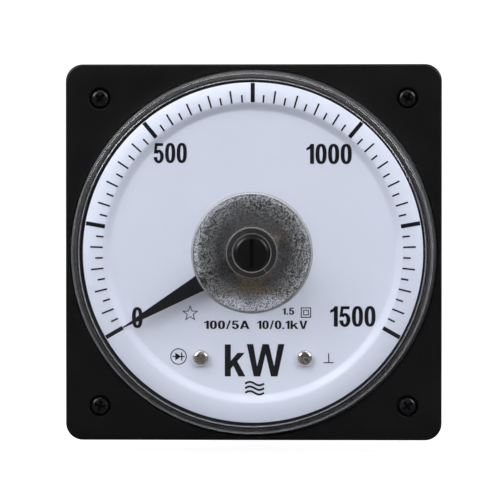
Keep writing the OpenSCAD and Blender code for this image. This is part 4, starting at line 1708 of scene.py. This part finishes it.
@dataclass
class Movement:
    """The pointer, the hairsprings and the coil's winding."""

    zero_angle: float = 210.0
    reach: float = 43.4
    hub_hole: float = 1.41
    blade: tuple[tuple[float, float], ...] = (
        (0.0, 1.7), (2.0, 1.7), (9.0, 2.5), (18.0, 2.42), (36.5, 0.9), (40.3, 0.45))
    tip_w: float = 0.17
    hub_r: float = 2.4
    spring_in: float = 1.25
    spring_out: float = 5.65
    spring_turns: float = 3.5
    collar_in: float = 0.61
    coil_in: float = 4.35
    coil_out: float = 10.15
    coil_turns: int = 11

    def pointer(self) -> None:
        """Cut the pointer's blade from sheet and set it at zero."""
        box = extent("pointer")
        edge = [*self.blade, (self.reach, self.tip_w)]
        half = [(r, w) for r, w in edge if r > 0]
        hub = corner_arc(0, 0, self.hub_r, 46, 314, 24)
        outline = [*hub, *((r, -w) for r, w in half), *((r, w) for r, w in half[::-1])]
        hole = corner_arc(0, 0, self.hub_hole, 0, 348, 29)
        mesh = slab([outline, hole], box.low.z, box.high.z, 0.06)
        piece("lance_pointer", moved(mesh, turn=self.zero_angle), POINTER, "moving_element", ["pointer"])

    def hairspring(self, name: str, cone: float) -> bpy.types.Mesh:
        """Wind a hairspring round its collar.

        Args:
            name: the CAD node that it stands for.
            cone: how far its outer turn stands in front of its inner one.

        Returns:
            The spring and its collar.
        """
        box = extent(name)
        low, high = box.low.z, box.high.z
        tree = Tree(name + "_coils")
        inner = tree.given("Inner radius", self.spring_in)
        outer = tree.given("Outer radius", self.spring_out)
        turns = tree.given("Turns", self.spring_turns)
        rise = tree.given("Cone", cone)
        strip_w, strip_t = tree.given("Strip width", 0.36), tree.given("Strip thickness", 0.09)
        coil = tree.node("GeometryNodeCurveSpiral", None, {
            "Resolution": 40, "Rotations": turns, "Start Radius": inner, "End Radius": outer,
            "Height": rise, "Reverse": False})
        strip = tree.node("GeometryNodeCurvePrimitiveQuadrilateral", {"mode": "RECTANGLE"}, {
            "Width": strip_t, "Height": strip_w})
        upright = tree.node("GeometryNodeSetCurveNormal", {"mode": "Z_UP"}, {"Curve": coil})
        wound = tree.node("GeometryNodeCurveToMesh", None, {
            "Curve": upright, "Profile Curve": strip, "Fill Caps": True})
        finish = next(f for f in FINISHES if f.slot == "bronze_spring")
        stood = tree.moved(wound, (0, 0, (low + high) / 2 - 0.15), (0, 0, -math.pi / 2))
        bore = self.collar_in
        collar = [(bore, low), (1.2, low), (1.3, low + 0.1), (1.3, high - 0.1), (1.2, high), (bore, high)]
        return joined([tree.grow(stood, finish.material()), turned(collar, 32)])

    def springs(self) -> None:
        """Set both hairsprings; the rear one rides on the moving element and the front one is carried by no
        body.
        """
        bronze = next(f for f in FINISHES if f.slot == "bronze_spring")
        rear = self.hairspring("rear_hairspring", 0.0)
        piece("rear_spiral_spring", rear, bronze, "moving_element", ["rear_hairspring"])
        cone = 0.7
        front = piece("front_spiral_spring", self.hairspring("front_hairspring", cone), bronze, "",
                      ["front_hairspring"])
        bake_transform(front)

    def winding(self) -> None:
        """Wind the coil's turns round its former."""
        low, high = extent("moving_coil").low.z, extent("moving_coil").high.z
        inner, outer = self.coil_in, self.coil_out
        copper = next(f for f in FINISHES if f.slot == "copper_wire")
        tree = Tree("coil_turns")
        width = tree.given("Loop width", outer - inner - 0.2)
        height = tree.given("Loop height", high - low - 0.2)
        wire = tree.given("Wire radius", 0.105)
        count = tree.given("Turns", self.coil_turns, "Int")
        pitch = tree.given("Pitch", 0.218)
        loop = tree.node("GeometryNodeCurvePrimitiveQuadrilateral", {"mode": "RECTANGLE"}, {
            "Width": width, "Height": height})
        soft = tree.node("GeometryNodeFilletCurve", {"mode": "POLY"}, {
            "Curve": loop, "Count": 5, "Radius": 0.45})
        round_wire = tree.node("GeometryNodeCurvePrimitiveCircle", None, {"Resolution": 8, "Radius": wire})
        turn = tree.node("GeometryNodeCurveToMesh", None, {
            "Curve": soft, "Profile Curve": round_wire.outputs[0]})
        start = tree.vector(0.0, 0.0, (count - 1) * pitch * -0.5)
        row = tree.node("GeometryNodeMeshLine", {"mode": "OFFSET"}, {
            "Count": count, "Start Location": start, "Offset": tree.vector(0.0, 0.0, pitch)})
        turns = tree.repeat(row, turn, (0.0, 0.0, 0.0))
        stood = tree.moved(turns, ((inner + outer) / 2, 0, (low + high) / 2), (math.pi / 2, 0, 0))
        mesh = moved(tree.grow(stood, copper.material()), turn=self.zero_angle - 180)
        piece("coil_winding", mesh, copper, "moving_element", ["moving_coil"], 60)

    def build(self) -> None:
        """Build the movement's fine pieces."""
        self.pointer()
        self.springs()
        self.winding()


# ------------------------------------------------------------------ case and terminals


@dataclass
class RearCase:
    """The rear moulding with its barrel, and the threaded studs that hold it in a panel."""

    stud_pitch: float = 90.0
    stud_r: float = 2.5
    thread_pitch: float = 0.8
    thread_deep: float = 0.42
    wall: float = 2.5
    rim: float = 1.2
    corner: float = 5.0
    flange_t: float = 4.0
    groove_in: float = 52.25
    groove_out: float = 53.55
    groove_deep: float = 1.1
    stud_hole: float = 2.9
    sink_r: float = 4.7
    sink_floor: float = 1.15
    boss_at: float = 42.0
    boss_r: float = 4.0
    boss_top: float = -4.5
    boss_angles: tuple[float, ...] = (20.0, 160.0, 215.0, 325.0)

    def case(self) -> None:
        """Shape the rear moulding as one, with its flange, barrel, dial collar and inside bosses."""
        flange, wall = extent("rear_case"), extent("case_back")
        half, front, back = flange.high.x, flange.high.z, wall.low.z
        outer, inner = wall.high.x, wall.high.x - self.wall
        collar = extent("dial_plate").high.x - 0.8
        step = self.flange_t

        def square(reach: float, z: float) -> tuple[Callable[[float], float], float]:
            """One ring along the flange's edge."""
            return rounded_square(reach, self.corner), z

        rings = [(circle(inner), wall.high.z), (circle(inner), front - 0.2), (circle(inner + 0.2), front),
                 (circle(collar - 0.2), front), (circle(collar), front - 0.2), (circle(collar), step),
                 (circle(self.groove_in), step), (circle(self.groove_in), step - self.groove_deep),
                 (circle(self.groove_out), step - self.groove_deep), (circle(self.groove_out), step),
                 square(half, step)]
        rings += [square(half - 0.4 * (1 - math.sin(a)), 0.4 * (1 - math.cos(a)))
                  for a in (math.pi / 2, math.pi / 3, math.pi / 6)]
        rings += [square(half - 0.4, 0.0), (circle(outer + 0.3), 0.0), (circle(outer), -0.3)]
        rings += [(circle(outer - self.rim * (1 - math.cos(a))), back + self.rim * (1 - math.sin(a)))
                  for a in (0.0, math.pi / 6, math.pi / 3, math.pi / 2)]
        rings += [(circle(6.0), back), (circle(6.0), wall.high.z)]
        angle = math.pi / 4 - math.atan2(half - self.corner, half)
        shell = polar_loft(rings, polar_angles(angle))
        plug = turned([(0, back + 0.02), (6.01, back + 0.02), (6.01, wall.high.z), (0, wall.high.z)], 64)
        head = [(0, self.sink_floor), (self.sink_r, self.sink_floor), (self.sink_r, step + 1), (0, step + 1)]
        sinks = [moved(turned(head, 6), (x, y, 0)) for x, y in self.stud_places()]
        holes = drills(self.stud_hole, -1, 2, self.stud_places())
        bosses = []
        for turn in self.boss_angles:
            hole = corner_arc(self.boss_at, 0, 1.5, 0, 345, 23)
            ring = corner_arc(self.boss_at, 0, self.boss_r, 0, 350, 35)
            bosses.append(moved(slab([ring, hole], wall.high.z - 0.5, self.boss_top, 0.15), turn=turn))
        mesh = joined([carved(shell, sinks + holes), plug, *bosses])
        piece("rear_moulding", mesh, BLACK, "housing", ["rear_case", "case_barrel", "case_back"], 40)

    def stud_places(self) -> list[tuple[float, float]]:
        """Where the studs stand."""
        half = self.stud_pitch / 2
        return [(x, y) for x in (-half, half) for y in (-half, half)]

    def studs(self) -> None:
        """Roll the four studs, with real threads, round their plain cores."""
        box = extent("panel_studs")
        tree = Tree("threaded_studs")
        pitch = tree.given("Stud pitch", self.stud_pitch)
        radius = tree.given("Stud radius", self.stud_r)
        deep = tree.given("Thread depth", self.thread_deep)
        lead = tree.given("Thread pitch", self.thread_pitch)
        length = tree.given("Length", -box.low.z - 1.2)
        start = tree.given("End", box.low.z + 0.6)
        turns = length / lead
        helix = tree.node("GeometryNodeCurveSpiral", None, {
            "Resolution": 28, "Rotations": turns, "Start Radius": radius - deep * 0.5,
            "End Radius": radius - deep * 0.5, "Height": length, "Reverse": False})
        ridge = tree.node("GeometryNodeCurvePrimitiveCircle", None, {"Resolution": 4, "Radius": deep * 0.52})
        upright = tree.node("GeometryNodeSetCurveNormal", {"mode": "Z_UP"}, {"Curve": helix})
        thread = tree.node("GeometryNodeCurveToMesh", None, {
            "Curve": upright, "Profile Curve": ridge.outputs[0], "Fill Caps": True})
        core = tree.node("GeometryNodeMeshCylinder", None, {
            "Vertices": 32, "Radius": radius - deep * 0.8, "Depth": length + 1.2})
        hexagon = tree.node("GeometryNodeMeshCylinder", None, {
            "Vertices": 6, "Radius": self.sink_r - 0.15, "Depth": 2.6})
        shoulder = tree.node("GeometryNodeMeshCylinder", None, {
            "Vertices": 32, "Radius": self.stud_hole - 0.02, "Depth": 1.3})
        middle = tree.vector(0.0, 0.0, start + length / 2)
        stud = tree.together(
            tree.moved(thread, tree.vector(0.0, 0.0, start)), tree.moved(core.outputs[0], middle),
            tree.moved(hexagon.outputs[0], (0, 0, 2.6)), tree.moved(shoulder.outputs[0], (0, 0, 0.65)))
        grid = tree.node("GeometryNodeMeshGrid", None, {
            "Size X": pitch, "Size Y": pitch, "Vertices X": 2, "Vertices Y": 2})
        mesh = tree.grow(tree.repeat(grid.outputs[0], stud, (0.0, 0.0, 0.0)), ZINC.material())
        piece("threaded_panel_studs", mesh, ZINC, "housing", ["panel_studs"])

    def build(self) -> None:
        """Build the rear case."""
        self.case()
        self.studs()


@dataclass
class TerminalBlock:
    """The moulded terminal block with its screws and numbers."""

    upper: tuple[float, ...] = (-18.0, 0.0, 18.0)
    lower: tuple[float, ...] = (-27.0, -9.0, 9.0, 27.0)
    upper_y: float = 2.0
    lower_y: float = -18.0
    number_h: float = 3.4
    screw_head_r: float = 3.6
    screw_head_h: float = 2.6
    fixing_head_r: float = 2.6
    fixing_head_h: float = 1.8

    def places(self) -> list[tuple[float, float]]:
        """Where the terminals stand, in the order of their numbers, as seen from behind."""
        return ([(x, self.upper_y) for x in reversed(self.upper)]
                + [(x, self.lower_y) for x in reversed(self.lower)])

    def block(self) -> None:
        """Round the block's edges and set it in place."""
        box = extent("terminal_block")

        def rear(p: Vector) -> bool:
            """Whether a vertex lies on the block's rear face."""
            return p.z < box.low.z + 0.05

        block = softened("terminal_block", 0.35, rear)
        piece("moulded_terminal_block", block, BLACK, "housing", ["terminal_block"])

    def screws(self) -> None:
        """Set the seven terminal screws and the two that hold the block."""
        box = extent("terminal_screws")
        seat = box.low.z + self.screw_head_h
        screw = Screw(self.screw_head_r, self.screw_head_h, 1.98, box.high.z - seat, 0.4)
        places = [(x, y, seat) for x, y in self.places()]
        mesh = screw.at("terminal_screws_repeat", places, ZINC, 23, 180)
        piece("cross_terminal_screws", mesh, ZINC, "housing", ["terminal_screws"])
        fixing = extent("block_screws")
        seat = fixing.low.z + self.fixing_head_h
        screw = Screw(self.fixing_head_r, self.fixing_head_h, 1.48, fixing.high.z - seat)
        x = fixing.high.x - fixing.size.y / 2
        places = [(side * x, self.upper_y, seat) for side in (-1, 1)]
        mesh = screw.at("block_screws_repeat", places, ZINC, 31, 180)
        piece("block_fixing_screws", mesh, ZINC, "housing", ["block_screws"])

    def numbers(self) -> None:
        """Raise the terminals' numbers on the case's back, above and below the block."""
        wall, block = extent("case_back").low.z, extent("terminal_block")
        plates = []
        for number, (x, y) in enumerate(self.places(), 1):
            words = bpy.data.curves.new("number", "FONT")
            words.body, words.size, words.extrude = str(number), self.number_h, 0.15
            words.align_x, words.align_y, words.offset = "CENTER", "CENTER", 0.04
            mesh = harvest(bpy.data.objects.new("number", words))
            above = y == self.upper_y
            up = block.high.y + self.number_h if above else block.low.y - self.number_h
            mesh.transform(Matrix.Translation((x, up, wall)) @ Matrix.Rotation(math.pi, 4, "Y"))
            plates.append(mesh)
        piece("terminal_numbers", joined(plates), DIAL, "housing")

    def build(self) -> None:
        """Build the terminal block."""
        self.block()
        self.screws()
        self.numbers()


# ------------------------------------------------------------------ studio


@dataclass
class Studio:
    """The floor, the lamps, the surroundings and the camera.

    The floor and the backdrop are white to the camera and dim to the meter, so the cover doesn't mirror them.
    """

    distance: float = 0.9
    azimuth: float = 1.5
    elevation: float = 0.6
    lens: float = 221.6
    aim: tuple[float, float] = (-0.00103, 0.00067)
    floor_drop: float = 0.004

    def floor(self) -> None:
        """Lay a pale floor under the meter."""
        shader = Shader("studio_floor")
        tone = shader.noise(40.0, 2)
        pale = shader.blend(tone, (0.9, 0.9, 0.9), (0.94, 0.94, 0.94))
        dim = shader.blend(tone, (0.08, 0.08, 0.08), (0.1, 0.1, 0.1))
        felt = shader.principled({"Base Color": dim, "Roughness": 0.7})
        seen = shader.principled({
            "Base Color": pale, "Roughness": 0.7, "Emission Color": (1.0, 1.0, 1.0, 1.0),
            "Emission Strength": 0.97})
        rays = shader.node("ShaderNodeLightPath").outputs["Is Camera Ray"]
        surface = shader.node("ShaderNodeMixShader", None, {0: rays, 1: felt, 2: seen})
        half, level = 1.2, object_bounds()[0][2] - self.floor_drop
        mesh = bpy.data.meshes.new("floor")
        corners = ((-half, -half), (half, -half), (half, half), (-half, half))
        mesh.from_pydata([(x, y, level) for x, y in corners], [], [(0, 1, 2, 3)])
        mesh.materials.append(shader.finish(surface))
        ground = bpy.data.objects.new("floor", mesh)
        bpy.context.scene.collection.objects.link(ground)
        ground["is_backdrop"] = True

    def lamp(self, name: str, place: Point, size: tuple[float, float], power: float,
             colour: Colour = (1.0, 1.0, 1.0)) -> None:
        """Hang a soft lamp that faces the dial.

        Args:
            name: the lamp's name.
            place: where it hangs, in metres.
            size: its width and height in metres.
            power: its power in watts.
            colour: its colour.
        """
        data = bpy.data.lights.new(name, "AREA")
        data.shape, data.size, data.size_y = "RECTANGLE", size[0], size[1]
        data.energy, data.color = power, colour
        lamp = bpy.data.objects.new(name, data)
        lamp.location = place
        lamp.rotation_euler = (-Vector(place)).to_track_quat("-Z", "Y").to_euler()
        bpy.context.scene.collection.objects.link(lamp)

    def surroundings(self) -> None:
        """Make the backdrop white to the camera and dim to the object."""
        world = bpy.data.worlds.new("studio")
        world.use_nodes = True
        world.node_tree.nodes.clear()
        graph = Graph(world.node_tree)
        seen = graph.node("ShaderNodeBackground", None, {"Color": (1, 1, 1, 1), "Strength": 1.1})
        felt = graph.node("ShaderNodeBackground", None, {"Color": (0.92, 0.95, 1, 1), "Strength": 0.06})
        rays = graph.node("ShaderNodeLightPath").outputs["Is Camera Ray"]
        both = graph.node("ShaderNodeMixShader", None, {0: rays, 1: felt, 2: seen})
        graph.node("ShaderNodeOutputWorld", None, {"Surface": both})
        bpy.context.scene.world = world

    def camera(self) -> None:
        """Stand the camera in front of the dial."""
        data = bpy.data.cameras.new("camera")
        data.lens, data.sensor_width, data.clip_end = self.lens, 36.0, 20.0
        eye = bpy.data.objects.new("camera", data)
        turn, tilt = math.radians(self.azimuth), math.radians(self.elevation)
        target = Vector((self.aim[0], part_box("front_frame")[0].y, self.aim[1]))
        level = Vector((math.sin(turn), -math.cos(turn), 0.0)) * math.cos(tilt)
        eye.location = target + (level + Vector((0, 0, math.sin(tilt)))) * self.distance
        eye.rotation_euler = (target - eye.location).to_track_quat("-Z", "Y").to_euler()
        bpy.context.scene.collection.objects.link(eye)
        bpy.context.scene.camera = eye

    def build(self) -> None:
        """Set up the studio."""
        self.camera()
        self.floor()
        self.lamp("key_left", (-0.75, -0.6, 0.62), (0.55, 0.55), 6.1)
        self.lamp("key_right", (0.75, -0.6, 0.62), (0.55, 0.55), 5.3)
        self.lamp("top", (0.0, -0.35, 0.95), (0.9, 0.35), 3.8)
        self.surroundings()
        bpy.context.scene.view_settings.view_transform = "Standard"


def dress_frame() -> None:
    """Give every CAD node the finish of its slot in the record."""
    finishes = {finish.slot: finish for finish in FINISHES}
    for part in frame["record"]["subparts"]:
        mesh = frame["nodes"][part["node"]].data
        material = finishes[part["material_slot"]].material()
        if not mesh.materials:
            mesh.materials.append(material)
        for i in range(len(mesh.materials)):
            mesh.materials[i] = material
    log.info("dressed %d CAD nodes", len(frame["nodes"]))


def main() -> None:
    """Build the meter's looks and the studio round it."""
    logging.basicConfig(level=logging.INFO, format="%(name)s: %(message)s")
    Studio().build()
    dress_frame()
    for assembly in (FrontHousing(), ZeroAdjuster(), Dial(), Movement(), RearCase(), TerminalBlock()):
        assembly.build()
        log.info("built %s", type(assembly).__name__)


if __name__ == "__main__":
    main()
